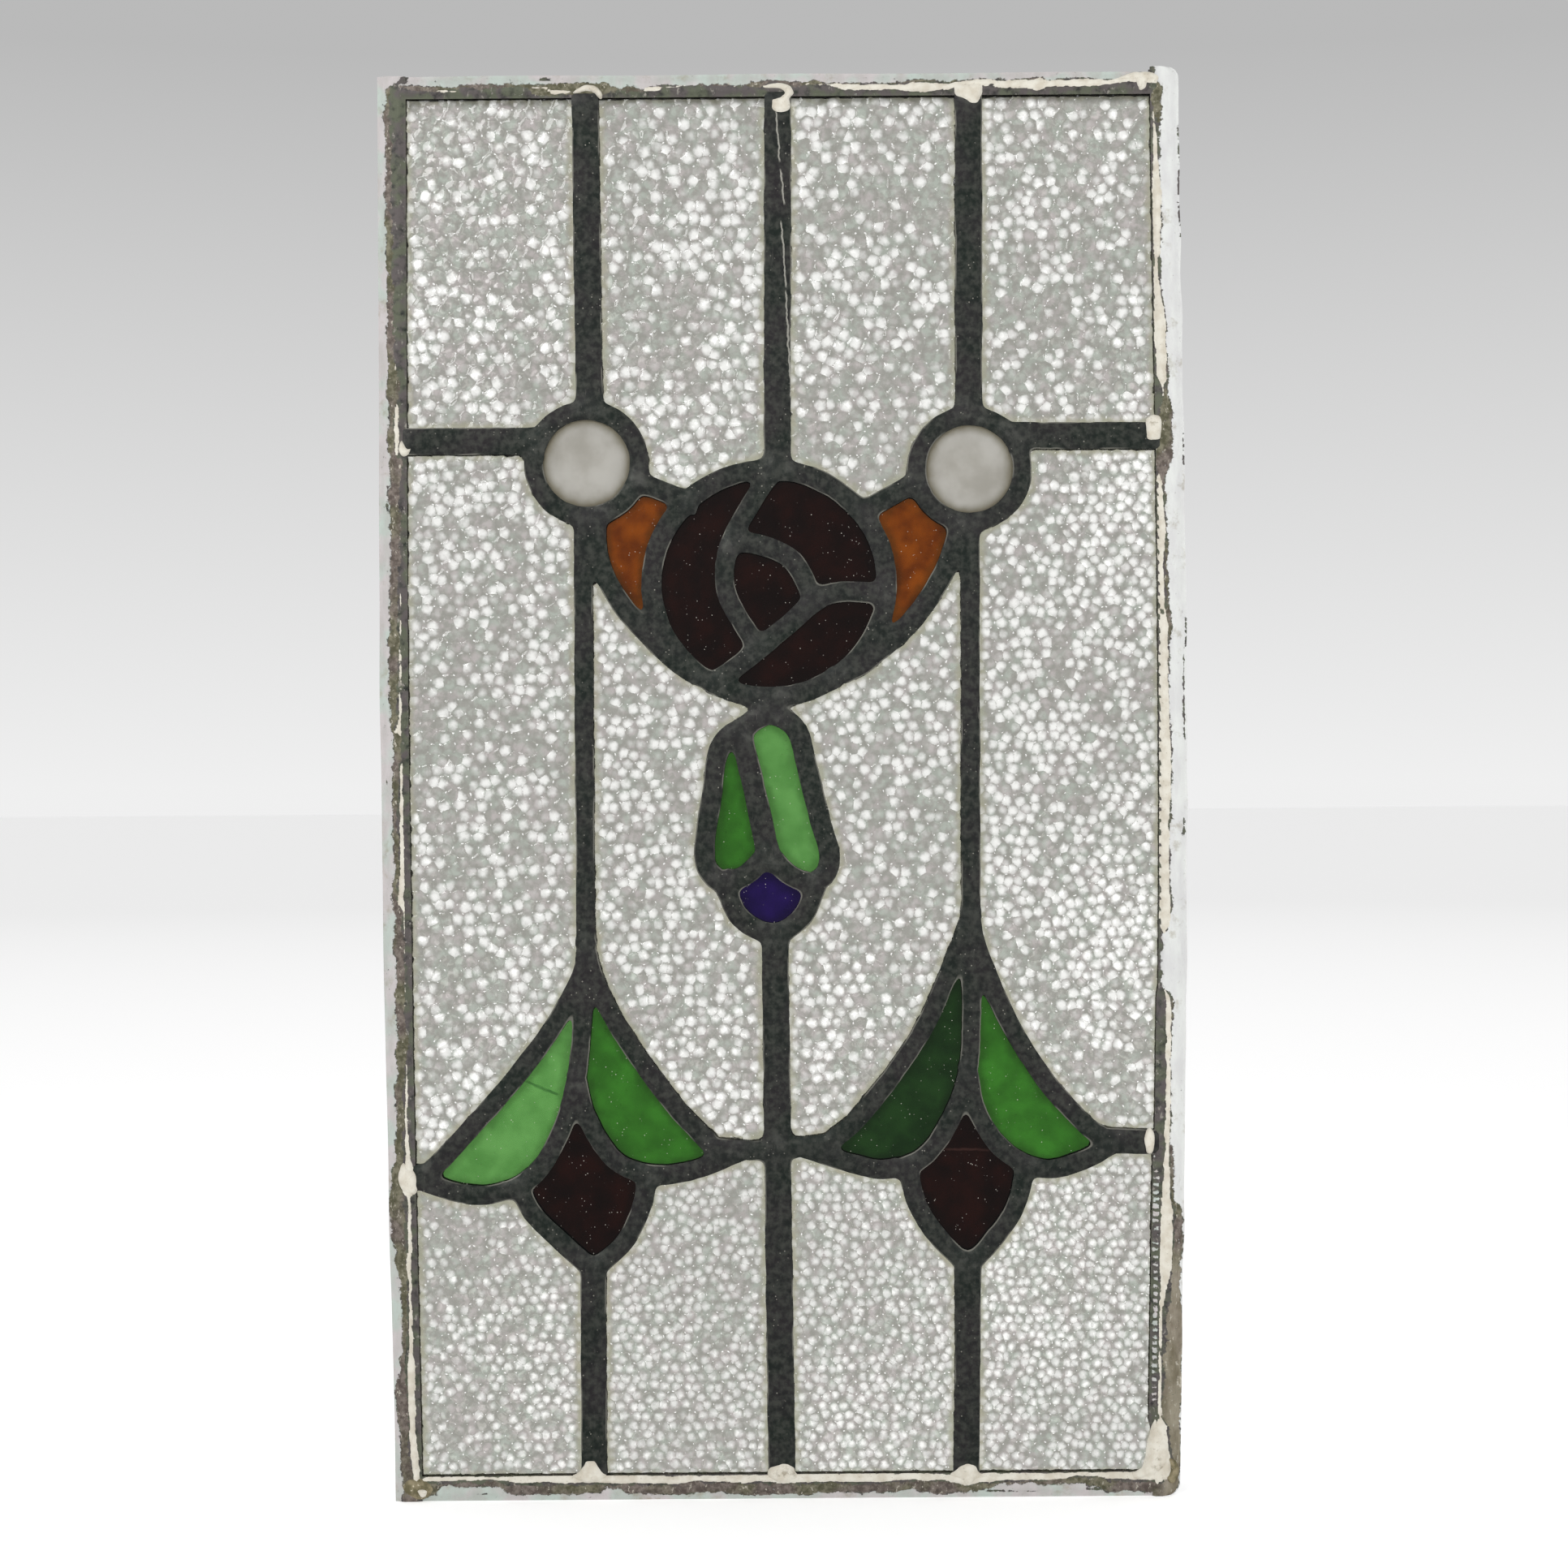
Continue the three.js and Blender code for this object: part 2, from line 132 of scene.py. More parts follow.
def smooth_max(a, b, reach):
    """The greater of two fields, with the corner between them rounded over that reach."""
    near = np.clip(reach - np.abs(a - b), 0, None) / reach
    return np.maximum(a, b) + near * near * reach / 4


# ------------------------------------------------------------------ lines


def spline(points, per_span=9):
    """A centripetal Catmull-Rom curve through the points, as the solids' lines are."""
    p = np.array(points, float)
    if len(p) == 2:
        return p
    p = np.vstack([2 * p[0] - p[1], p, 2 * p[-1] - p[-2]])
    t = np.linspace(0, 1, per_span, endpoint=False)[:, None]
    spans = []
    for a, b, c, d in zip(p, p[1:], p[2:], p[3:]):
        before, span, after = (math.sqrt(np.linalg.norm(v)) for v in (b - a, c - b, d - c))
        start = span * ((b - a) / before - (c - a) / (before + span) + (c - b) / span)
        end = span * ((c - b) / span - (d - b) / (span + after) + (d - c) / after)
        cubic = 2 * b - 2 * c + start + end
        square = 3 * c - 3 * b - 2 * start - end
        spans.append(b + start * t + square * t**2 + cubic * t**3)
    return np.vstack([*spans, p[-2]])


def finer(loop, step):
    """A closed loop with no stretch longer than step."""
    spots = []
    for a, b in zip(loop, np.roll(loop, -1, 0)):
        count = math.ceil(float(np.hypot(*(b - a))) / step)
        spots.append(a + np.arange(count)[:, None] / count * (b - a))
    return np.vstack(spots)


def ring(centre, radius, stretch=1.0, sides=90):
    turn = np.linspace(0, 2 * math.pi, sides + 1)
    x = centre[0] + radius * stretch * np.cos(turn)
    return np.stack([x, centre[1] + radius * np.sin(turn)], 1)


def distance_to(line, x, z):
    """The distance of each point from a line of straight stretches."""
    nearest = np.full(x.shape, np.inf)
    for (x0, z0), (x1, z1) in zip(line, line[1:]):
        dx, dz = x1 - x0, z1 - z0
        share = np.clip(((x - x0) * dx + (z - z0) * dz) / (dx * dx + dz * dz), 0, 1)
        gap = (x - x0 - share * dx) ** 2 + (z - z0 - share * dz) ** 2
        nearest = np.minimum(nearest, gap)
    return np.sqrt(nearest)


def side_line(side, swell):
    """The middle of a side border came, from foot to head."""
    foot = (side * (HALF_WIDTH_FOOT - MIDDLE), 0.0)
    waist = (side * (HALF_WIDTH_WAIST - MIDDLE + swell), HEIGHT / 2)
    head = (side * (HALF_WIDTH_HEAD - MIDDLE), HEIGHT)
    return spline([foot, waist, head], per_span=160)


LINE_LEFT = side_line(-1, SWELL_LEFT)
LINE_RIGHT = side_line(1, SWELL_RIGHT)
LEFT = -(HALF_WIDTH_WAIST - MIDDLE)
RIGHT = HALF_WIDTH_WAIST + SWELL_RIGHT - MIDDLE
HEAD = HEIGHT - MIDDLE


def on_roundel(centre, dx, dz):
    return (centre[0] + dx, centre[1] + dz)


def tulip_lines(side, head, fork, left, right, under_left, under_right, links, cups, base):
    """The bands of a tulip's three cames: leaves, heart and cup."""
    return {
        f"came_tulip_{side}_leaves": [
            (NARROW, spline([head, *left])),
            (NARROW, spline([head, *right])),
            (links[0][0], [left[-1], links[0][1]]),
            (links[1][0], [right[-1], links[1][1]]),
        ],
        f"came_tulip_{side}_heart": [
            (NARROW, spline([head, fork, *under_left])),
            (NARROW, spline([fork, *under_right])),
        ],
        f"came_tulip_{side}_cup": [
            (NARROW, spline([*cups[0], base])),
            (NARROW, spline([*cups[1], base])),
        ],
    }


NETWORK = {
    "came_head_left": [(WIDE, [(-86, HEAD), on_roundel(ROUNDEL_LEFT, 1.5, ROUNDEL_RADIUS)])],
    "came_head_centre": [(WIDE, [(0, HEAD), (-1.5, ROSE[1] + ROSE_RADIUS)])],
    "came_head_right": [(WIDE, [(85, HEAD), on_roundel(ROUNDEL_RIGHT, 0, ROUNDEL_RADIUS)])],
    "came_cross_left": [(WIDE, [(LEFT - SWELL_LEFT, BAND), (-107.5, BAND - 0.5)])],
    "came_cross_right": [(WIDE, [(RIGHT, BAND), (103.5, BAND + 0.5)])],
    "came_roundel_left": [(NARROW, ring(ROUNDEL_LEFT, ROUNDEL_RADIUS))],
    "came_roundel_right": [(NARROW, ring(ROUNDEL_RIGHT, ROUNDEL_RADIUS))],
    "came_stem_left": [(NARROW, [(-88.3, 438), (-88.4, STEM_LEFT_END)])],
    "came_stem_right": [(NARROW, [(84.3, 434), (83.4, STEM_RIGHT_END)])],
    "came_sepal_left": [(CURVED, spline([
        (-83, 439), (-80.8, 418), (-71.6, 399.6), (-53.5, 379.4), (-41.5, 369.4), (-33, 365)]))],
    "came_sepal_right": [(CURVED, spline([
        (80.5, 436), (73, 413.5), (59, 392), (42, 376.5), (33, 370), (25, 367)]))],
    "came_bridge_left": [(CURVED, [(-65, 454.5), (-38, 443.5)])],
    "came_bridge_right": [(CURVED, [(62, 453.5), (35, 439)])],
    "came_rose_ring": [(CURVED, ring(ROSE, ROSE_RADIUS, ROSE_STRETCH, 140))],
    "came_petal_long": [(CURVED - 0.4, spline([
        (-3, 459), (-15, 441), (-24, 422), (-24.7, 405), (-10.5, 378.5)]))],
    "came_petal_mid": [(CURVED, spline([(-22.5, 427), (-8.5, 425), (5, 418), (15, 399)]))],
    "came_petal_low": [(CURVED, spline([
        (47, 403), (21, 403), (0.5, 387.5), (-21.5, 370), (-31, 363.5)]))],
    "came_bud": [
        (CURVED, spline([(-13, 347), (-27, 336.5), (-32, 312), (-35.2, 290), (-34, 281),
                         (-27.5, 274.8), (-19, 276.8), (-7, 287)])),
        (CURVED, spline([(-20, 342), (-6, 349.5), (5.5, 343.5), (11, 325), (16.5, 302),
                         (20.6, 286), (18.5, 278), (12.5, 274.4), (3, 277.8), (-6.5, 287)])),
        (WIDE - 2, spline([(-19, 342), (-14.5, 324), (-6.5, 286)])),
        (CURVED, spline([(-28, 278), (-19, 258.5), (-4, 252), (8, 259), (15.5, 275.5)])),
        (BUD_NECK, [(-6.6, ROSE[1] - ROSE_RADIUS), (-6.6, 351)]),
    ],
    "came_centre": [(WIDE, [(-4, 252), (-2.8, MIDDLE)])],
    "came_foot_left": [(WIDE - 0.6, [(-86.2, 105), (-86.4, MIDDLE)])],
    "came_foot_right": [(WIDE - 0.6, [(81, 106), (79.6, MIDDLE)])],
    **tulip_lines(
        "left", (-88.3, STEM_LEFT_END + 2), (-93, 188),
        left=[(-90, 235.5), (-103, 211.5), (-121.5, 187), (-152.5, 153), (-160.5, 145)],
        right=[(-85.8, 235.6), (-74.6, 211.7), (-49.5, 175.5), (-32, 156.5)],
        under_left=[(-101, 162.5), (-114, 143.5), (-133, 136.3), (-148, 137.8), (-163, 143.2)],
        under_right=[(-88.5, 170.5), (-75, 150.5), (-58, 144.8), (-40, 147), (-20, 154.8)],
        links=[(WIDE - 1, (LEFT, 143.2)), (NARROW, (-4, 154.5))],
        cups=[[(-120.5, 142.5), (-112, 127), (-93, 108.5)],
              [(-61.5, 146), (-64.5, 130), (-72, 115)]],
        base=(-86, 102.5),
    ),
    **tulip_lines(
        "right", (83.3, STEM_RIGHT_END + 2), (81.5, 190),
        left=[(78.3, 245.8), (63.6, 212.4), (51, 192.5), (30, 167), (19, 158)],
        right=[(85.8, 246.6), (99.6, 212.5), (118, 183), (137, 163), (144, 158.5)],
        under_left=[(74, 169), (61, 151.5), (43, 146.3), (25, 150.6), (9, 156)],
        under_right=[(86, 170.5), (98.5, 153.5), (116.5, 146), (132.8, 149.9), (146, 157)],
        links=[(NARROW, (-4, 156)), (WIDE - 1, (RIGHT, 157.4))],
        cups=[[(54, 150), (58.5, 130.5), (69.5, 114)],
              [(107.5, 149), (101.5, 128), (90, 112)]],
        base=(81, 103.5),
    ),
}

# ------------------------------------------------------------------ sheets cut from a grid


class Grid:
    """Evenly spaced points over a rectangle of the panel's face."""

    def __init__(self, low, high, step):
        self.x = np.arange(low[0], high[0] + step, step)
        self.z = np.arange(low[1], high[1] + step, step)
        self.px, self.pz = np.meshgrid(self.x, self.z, indexing="ij")

    def at(self, values, points):
        """The values of a field on this grid at [x, z] points, between its lines."""
        step = self.x[1] - self.x[0]
        u = np.clip((points[:, 0] - self.x[0]) / step, 0, len(self.x) - 1.001)
        v = np.clip((points[:, 1] - self.z[0]) / step, 0, len(self.z) - 1.001)
        i, j = u.astype(int), v.astype(int)
        fu, fv = u - i, v - j
        low = values[i, j] * (1 - fu) + values[i + 1, j] * fu
        high = values[i, j + 1] * (1 - fu) + values[i + 1, j + 1] * fu
        return low * (1 - fv) + high * fv

    def near(self, line, reach):
        """The part of the grid within reach of a line's box, as a pair of slices."""
        low, high = np.min(line, 0) - reach, np.max(line, 0) + reach
        i0, i1 = np.searchsorted(self.x, (low[0], high[0]))
        j0, j1 = np.searchsorted(self.z, (low[1], high[1]))
        return slice(i0, i1), slice(j0, j1)


class Sheet:
    """The part of a grid where a field is above zero, cut along its zero line.

    points holds [x, z], faces runs anticlockwise seen from the front, and cell holds the numbers
    of the first grid point of each face's cell.
    """

    def __init__(self, grid, field):
        inside = field > 0
        number = np.full(field.shape, -1)
        number[inside] = np.arange(inside.sum())
        points = [np.stack([grid.px[inside], grid.pz[inside]], 1)]
        count = len(points[0])
        cuts = []
        for axis in (0, 1):
            a = (slice(None, -1), slice(None)) if axis == 0 else (slice(None), slice(None, -1))
            b = (slice(1, None), slice(None)) if axis == 0 else (slice(None), slice(1, None))
            crossed = inside[a] != inside[b]
            share = field[a][crossed] / (field[a][crossed] - field[b][crossed])
            share = np.clip(share, 0.02, 0.98)[:, None]
            start = np.stack([grid.px[a][crossed], grid.pz[a][crossed]], 1)
            end = np.stack([grid.px[b][crossed], grid.pz[b][crossed]], 1)
            points.append(start + share * (end - start))
            cut = np.full(crossed.shape, -1)
            cut[crossed] = count + np.arange(crossed.sum())
            count += int(crossed.sum())
            cuts.append(cut)
        self.points = np.vstack(points)
        full = inside[:-1, :-1] & inside[1:, :-1] & inside[1:, 1:] & inside[:-1, 1:]
        some = inside[:-1, :-1] | inside[1:, :-1] | inside[1:, 1:] | inside[:-1, 1:]
        i, j = np.nonzero(full)
        quads = np.stack(
            [number[i, j], number[i + 1, j], number[i + 1, j + 1], number[i, j + 1]], 1)
        self.faces = quads.tolist()
        cut = np.nonzero(some & ~full)
        self.cell = np.stack([np.append(i, cut[0]), np.append(j, cut[1])], 1)
        for i, j in zip(*(n.tolist() for n in cut)):
            corners = ((i, j), (i + 1, j), (i + 1, j + 1), (i, j + 1))
            edges = (cuts[0][i, j], cuts[1][i + 1, j], cuts[0][i, j + 1], cuts[1][i, j])
            face = [n for corner, edge in zip(corners, edges) for n in (number[corner], edge)]
            self.faces.append([int(n) for n in face if n >= 0])


def rim_of(faces):
    """The edges that only one face has, in that face's direction."""
    edges = {(a, b) for face in faces for a, b in zip(face, face[1:] + face[:1])}
    return sorted(edge for edge in edges if edge[::-1] not in edges)


def loops_of(rim):
    """The closed loops that a rim's edges make."""
    after = {}
    for a, b in rim:
        after.setdefault(a, []).append(b)
    loops = []
    while after:
        start = next(iter(after))
        loop, here = [start], after[start].pop()
        while here != start:
            loop.append(here)
            here = after[here].pop()
        loops.append(loop)
        after = {a: ends for a, ends in after.items() if ends}
    return loops


def within(loops, x, z):
    """Whether each point is inside the loops of [x, z], with holes left out."""
    inside = np.zeros(x.shape, bool)
    for loop in loops:
        for (x0, z0), (x1, z1) in zip(loop, np.roll(loop, -1, 0)):
            if z0 != z1:
                inside ^= ((z0 > z) != (z1 > z)) & (x < x0 + (z - z0) * (x1 - x0) / (z1 - z0))
    return inside


def fill(points, loops):
    """Triangles, anticlockwise, over the area that is on the left of loops of point numbers."""
    edges = [edge for loop in loops for edge in zip(loop, loop[1:] + loop[:1])]
    made = delaunay_2d_cdt([Vector(p) for p in points], edges, [], 0, 1e-6)
    origin = [first[0] for first in made[3]]
    triangles = [[origin[n] for n in tri] for tri in made[2]]
    beside = {}
    for k, tri in enumerate(triangles):
        for edge in zip(tri, tri[1:] + tri[:1]):
            beside[edge] = k
    fence = set(edges)
    reached = {beside[edge] for edge in edges if edge in beside}
    ahead = sorted(reached)
    while ahead:
        tri = triangles[ahead.pop()]
        for edge in zip(tri, tri[1:] + tri[:1]):
            over = beside.get(edge[::-1])
            if edge not in fence and over is not None and over not in reached:
                reached.add(over)
                ahead.append(over)
    return [triangles[k] for k in sorted(reached)]


def closed_cap(points, faces, depth, base):
    """A solid between a relief and a flat base: its points and faces.

    points holds [x, z] and depth the relief's y. The faces are those seen from the front, and they
    come out turned over where the relief is behind its base.
    """
    used = sorted({n for face in faces for n in face})
    renumber = {old: new for new, old in enumerate(used)}
    faces = [[renumber[n] for n in face] for face in faces]
    flat = np.asarray(points)[used]
    top = np.stack([flat[:, 0], np.asarray(depth)[used], flat[:, 1]], 1)
    rim = rim_of(faces)
    loops = loops_of(rim)
    order = sorted({n for loop in loops for n in loop})
    place = {n: k for k, n in enumerate(order)}
    foot = {n: len(top) + k for n, k in place.items()}
    low = np.stack([flat[order, 0], np.full(len(order), base), flat[order, 1]], 1)
    walls = [[b, a, foot[a], foot[b]] for a, b in rim]
    outline = [[place[n] for n in loop] for loop in loops]
    floor = [[len(top) + k for k in tri[::-1]] for tri in fill(flat[order], outline)]
    solid = faces + walls + floor
    if np.mean(depth) > base:
        solid = [face[::-1] for face in solid]
    return np.vstack([top, low]), solid


def strip(line, half, low, high):
    """A closed bar along a line, between two depths: the heart of a came."""
    line = np.asarray(line, float)
    closed = np.allclose(line[0], line[-1])
    if closed:
        line = line[:-1]
        along = np.roll(line, -1, 0) - np.roll(line, 1, 0)
    else:
        along = np.gradient(line, axis=0)
    along /= np.linalg.norm(along, axis=1)[:, None]
    side = np.stack([-along[:, 1], along[:, 0]], 1) * half
    left, right = line + side, line - side
    rows = [np.stack([p[:, 0], np.full(len(p), y), p[:, 1]], 1)
            for p, y in ((right, low), (left, low), (left, high), (right, high))]
    count = len(line)
    points = np.vstack(rows)
    faces = []
    for n in range(count if closed else count - 1):
        m = (n + 1) % count
        for k in range(4):
            j = (k + 1) % 4
            faces.append([k * count + n, k * count + m, j * count + m, j * count + n])
    if not closed:
        faces.append([k * count for k in range(4)])
        faces.append([k * count + count - 1 for k in reversed(range(4))])
    return points, faces


def put_together(*solids):
    """Several solids as one list of points and one of faces."""
    points, faces, start = [], [], 0
    for p, f in solids:
        points.append(p)
        faces += [[n + start for n in face] for face in f]
        start += len(p)
    return np.vstack(points), faces


def add_mesh(name, points, faces, crease):
    """A mesh object from points in millimetres. Edges sharper than the crease stay sharp."""
    mesh = bpy.data.meshes.new(name)
    mesh.from_pydata((np.asarray(points) * MM).tolist(), [], faces)
    mesh.update()
    mesh.shade_smooth()
    mesh.set_sharp_from_angle(angle=math.radians(crease))
    piece = bpy.data.objects.new(name, mesh)
    bpy.context.scene.collection.objects.link(piece)
    return piece


def add_values(piece, **values):
    """Stores one number a vertex under each name, for the materials."""
    for name, numbers in values.items():
        attribute = piece.data.attributes.new(name, "FLOAT", "POINT")
        attribute.data.foreach_set("value", np.asarray(numbers, np.float32))


# ------------------------------------------------------------------ outline of the panel


def outer_left(z):
    return np.interp(z, LINE_LEFT[:, 1], LINE_LEFT[:, 0]) - MIDDLE


def outer_right(z):
    return np.interp(z, LINE_RIGHT[:, 1], LINE_RIGHT[:, 0]) + MIDDLE


def inset(x, z):
    """How far inside the panel's outer edges a point is."""
    sides = np.minimum(x - outer_left(z), outer_right(z) - x)
    return np.minimum(sides, np.minimum(z, HEIGHT - z))


def past_border(x, z):
    """How far in from the border's leads a point is."""
    sides = np.minimum(x - outer_left(z), outer_right(z) - x)
    return np.minimum(sides - BORDER, np.minimum(z, HEIGHT - z) - END_BORDER)


# ------------------------------------------------------------------ the lead network

FILLET = 4.0
END_OVERLAP = 1.5
REACH = FILLET + 1.5
SOLDER_RISE = 0.4
CROWN_SHARE = 0.7
OWNER_ROUNDS = 12
FRONT_STEP = 0.8
BACK_STEP = 1.5


class Network:
    """The relief of all the cames inside the border, on one grid.

    field is the distance inwards from the leads' outline, owner the came that a point belongs to,
    half the half width of the came there, and solder from 0 to 1 the nearness of a joint.
    """

    def __init__(self, step):
        self.grid = Grid((-180, 0), (182, HEIGHT), step)
        shape = self.grid.px.shape
        self.field = np.full(shape, -REACH)
        self.best = np.full(shape, -REACH)
        self.owner = np.zeros(shape, int)
        self.half = np.zeros(shape)
        self.weight = np.full(shape, 1e-9)
        self.solder = np.zeros(shape)
        for number, bands in enumerate(NETWORK.values()):
            for width, line in bands:
                self._lay(number, width / 2, np.asarray(line, float))
        self.half = np.where(self.half > 0, self.half / self.weight, NARROW / 2)
        self._tidy_owners()
        x, z = self.grid.px, self.grid.pz
        self.field += 0.2 * noise(x, z, 9, 1) + 0.12 * noise(x, z, 3, 2)
        self.field = np.minimum(self.field, past_border(x, z) + BORDER_BEVEL)

    def _lay(self, number, half, line):
        near = self.grid.near(line, half + REACH)
        x, z = self.grid.px[near], self.grid.pz[near]
        gap = distance_to(line, x, z)
        rise = half - gap
        ring_shaped = np.allclose(line[0], line[-1])
        for end, inner in ((line[0], line[1]), (line[-1], line[-2])):
            off_x, off_z = x - end[0], z - end[1]
            way = (end - inner) / np.hypot(*(end - inner))
            at_end = (np.hypot(off_x, off_z) <= gap + 1e-6) & (not ring_shaped)
            past = off_x * way[0] + off_z * way[1]
            rise = np.where(at_end, np.minimum(rise, END_OVERLAP - past), rise)
        held = self.field[near]
        slope_x, slope_z = np.gradient(held)
        rise_x, rise_z = np.gradient(rise)
        steep = np.hypot(slope_x, slope_z) * np.hypot(rise_x, rise_z) + 1e-6
        apart = np.clip(1 - (slope_x * rise_x + slope_z * rise_z) / steep, 0, 1)
        joined = smooth_max(held, rise, FILLET)
        hard = np.maximum(held, rise)
        self.field[near] = hard + (joined - hard) * apart
        ahead = rise > self.best[near]
        self.owner[near][ahead] = number
        self.best[near][ahead] = rise[ahead]
        weight = np.exp(np.clip(rise, -REACH, REACH) / 0.7)
        self.weight[near] += weight
        self.half[near] += weight * half
        if ring_shaped:
            return
        for end in (line[0], line[-1]):
            gap = np.hypot(x - end[0], z - end[1]) / (1.25 * half + 1.5)
            self.solder[near] = np.maximum(self.solder[near], np.exp(-(gap**4)))

    def _tidy_owners(self):
        """Leaves no two cells of one came that touch at a corner alone."""
        own = self.owner
        for _ in range(OWNER_ROUNDS):
            a, b, c, d = own[:-1, :-1], own[1:, :-1], own[:-1, 1:], own[1:, 1:]
            rising = (a == d) & (b != a) & (c != a)
            falling = (b == c) & (a != b) & (d != b)
            i, j = np.nonzero(rising)
            own[i + 1, j] = own[i, j]
            i, j = np.nonzero(falling & ~rising)
            own[i, j] = own[i + 1, j]

    def depth(self):
        """How far in front of the middle of the glass the lead's face is."""
        x, z = self.grid.px, self.grid.pz
        share = np.clip(self.field / (self.half * CROWN_SHARE), 0, 1)
        leaf = CHANNEL + LEAF_EDGE
        face = leaf + (FACE - leaf) * (1 - (1 - share) ** 2)
        mound = SOLDER_RISE * self.solder * (1 + 0.5 * noise(x, z, 4, 3)) * share
        dents = 0.05 * noise(x, z, 7, 4) + 0.035 * noise(x, z, 2.2, 5)
        return face + mound + dents * (0.3 + 0.7 * share)


def cames(front, back):
    """Makes each came of the network as a face, a back and a heart, and fits it over its solid."""
    front_sheet = Sheet(front.grid, front.field)
    front_depth = front.grid.at(front.depth(), front_sheet.points)
    front_owner = front.owner[front_sheet.cell[:, 0], front_sheet.cell[:, 1]]
    back_sheet = Sheet(back.grid, back.field)
    share = np.clip(back.grid.at(back.field / back.half, back_sheet.points) / CROWN_SHARE, 0, 1)
    leaf = CHANNEL + LEAF_EDGE
    back_depth = leaf + (BACK - leaf) * (1 - (1 - share) ** 2)
    back_owner = back.owner[back_sheet.cell[:, 0], back_sheet.cell[:, 1]]
    made = []
    for number, (node, bands) in enumerate(NETWORK.items()):
        face = [front_sheet.faces[k] for k in np.nonzero(front_owner == number)[0]]
        rear = [back_sheet.faces[k] for k in np.nonzero(back_owner == number)[0]]
        hearts = [strip(line, LEAF_EDGE, -CHANNEL - 0.1, CHANNEL + 0.1) for _, line in bands]
        points, faces = put_together(
            closed_cap(front_sheet.points, face, -front_depth, -CHANNEL),
            closed_cap(back_sheet.points, rear, back_depth, CHANNEL),
            *hearts,
        )
        piece = add_mesh("lead_" + node, points, faces, crease=40)
        flat = points[:, [0, 2]]
        add_values(piece, solder=front.grid.at(front.solder, flat),
                   rise=front.grid.at(front.field, flat))
        made.append((piece, node))
    return made


# ------------------------------------------------------------------ the border

ROW_STEP = 1.2
ACROSS = 22
PUTTY_RISE = 0.85
PAINT_RISE = 0.18
SQUARES_UNDER = 4.0  # marks of a finer pitch are squares of paint, the others dots in the putty

# What is left on each border came, at places along it, as distances in from its outer edge: how
# far the pale paint reaches, how far the weathered metal beside it, and the two sides of the
# ridge of putty. The sides run from the foot up, the head and the foot from the left.
COATS_LEFT = [
    (0, 3.5, 9, 8, 8), (9, 3.5, 8.5, 8, 11), (16, 2.6, 7.5, 7.6, 11), (20, 2.4, 6.3, 6.6, 10.8),
    (32, 1.8, 6, 6.4, 10.2), (35, 1.2, 6, 6.5, 10.1), (52, 0.8, 6, 6.3, 10.2),
    (58, 2.6, 6.2, 6.2, 10.1), (66, 4, 6.4, 6.6, 10), (70, 4.7, 7, 7.2, 9.8),
    (98, 4.6, 7.2, 7.9, 9.6), (104, 1.6, 7, 7, 9.6), (112, 2.4, 7, 8, 9.9), (118, 0.4, 7, 8, 10),
    (135, 0.6, 7, 8.3, 9.8), (138, 1, 5.8, 5.8, 12), (148, 1.4, 5.8, 6, 12),
    (152, 2.6, 7, 7.4, 10.4), (160, 3, 7, 7.6, 9.7), (172, 5, 7.2, 8, 9.8),
    (185, 4.4, 7.6, 8.4, 9.7), (194, 5.6, 9, 9, 9.6), (198, 5, 9.6, 9.6, 9.6),
    (224, 5, 9.6, 9.7, 9.7), (229, 5, 9, 9.2, 10), (262, 5, 8.8, 9.2, 9.9),
    (267, 4.6, 6.6, 6.2, 10), (275, 5.2, 6.8, 7, 10), (280, 5.2, 7.2, 7.8, 10.2),
    (315, 5, 7.6, 8.2, 10), (328, 5.4, 7.8, 8.2, 9.8), (331, 6, 9.4, 9.4, 9.4),
    (341, 5.4, 9.4, 9.4, 9.4), (343, 5.2, 6.4, 6.4, 9.8), (349, 4.6, 7.8, 8.2, 9.9),
    (376, 4.4, 8.4, 8.8, 9.9), (416, 5, 8.6, 9, 10), (419, 5, 9.6, 9.6, 9.6),
    (464, 4.8, 9.6, 9.4, 9.4), (467, 4.4, 6.6, 7, 9.6), (487, 4.4, 6.8, 7, 9.4),
    (491, 4, 8.8, 9, 9), (506, 4.2, 8.4, 7.4, 8.2), (514, 4.2, 6.6, 6.4, 6.6),
    (600, 3.8, 6.2, 6, 6.2), (612, 2.8, 4.6, 4.6, 4.6), (629, 3, 6, 6, 6), (632, 8, 8, 8, 8),
    (635, 12, 12, 12, 12),
]
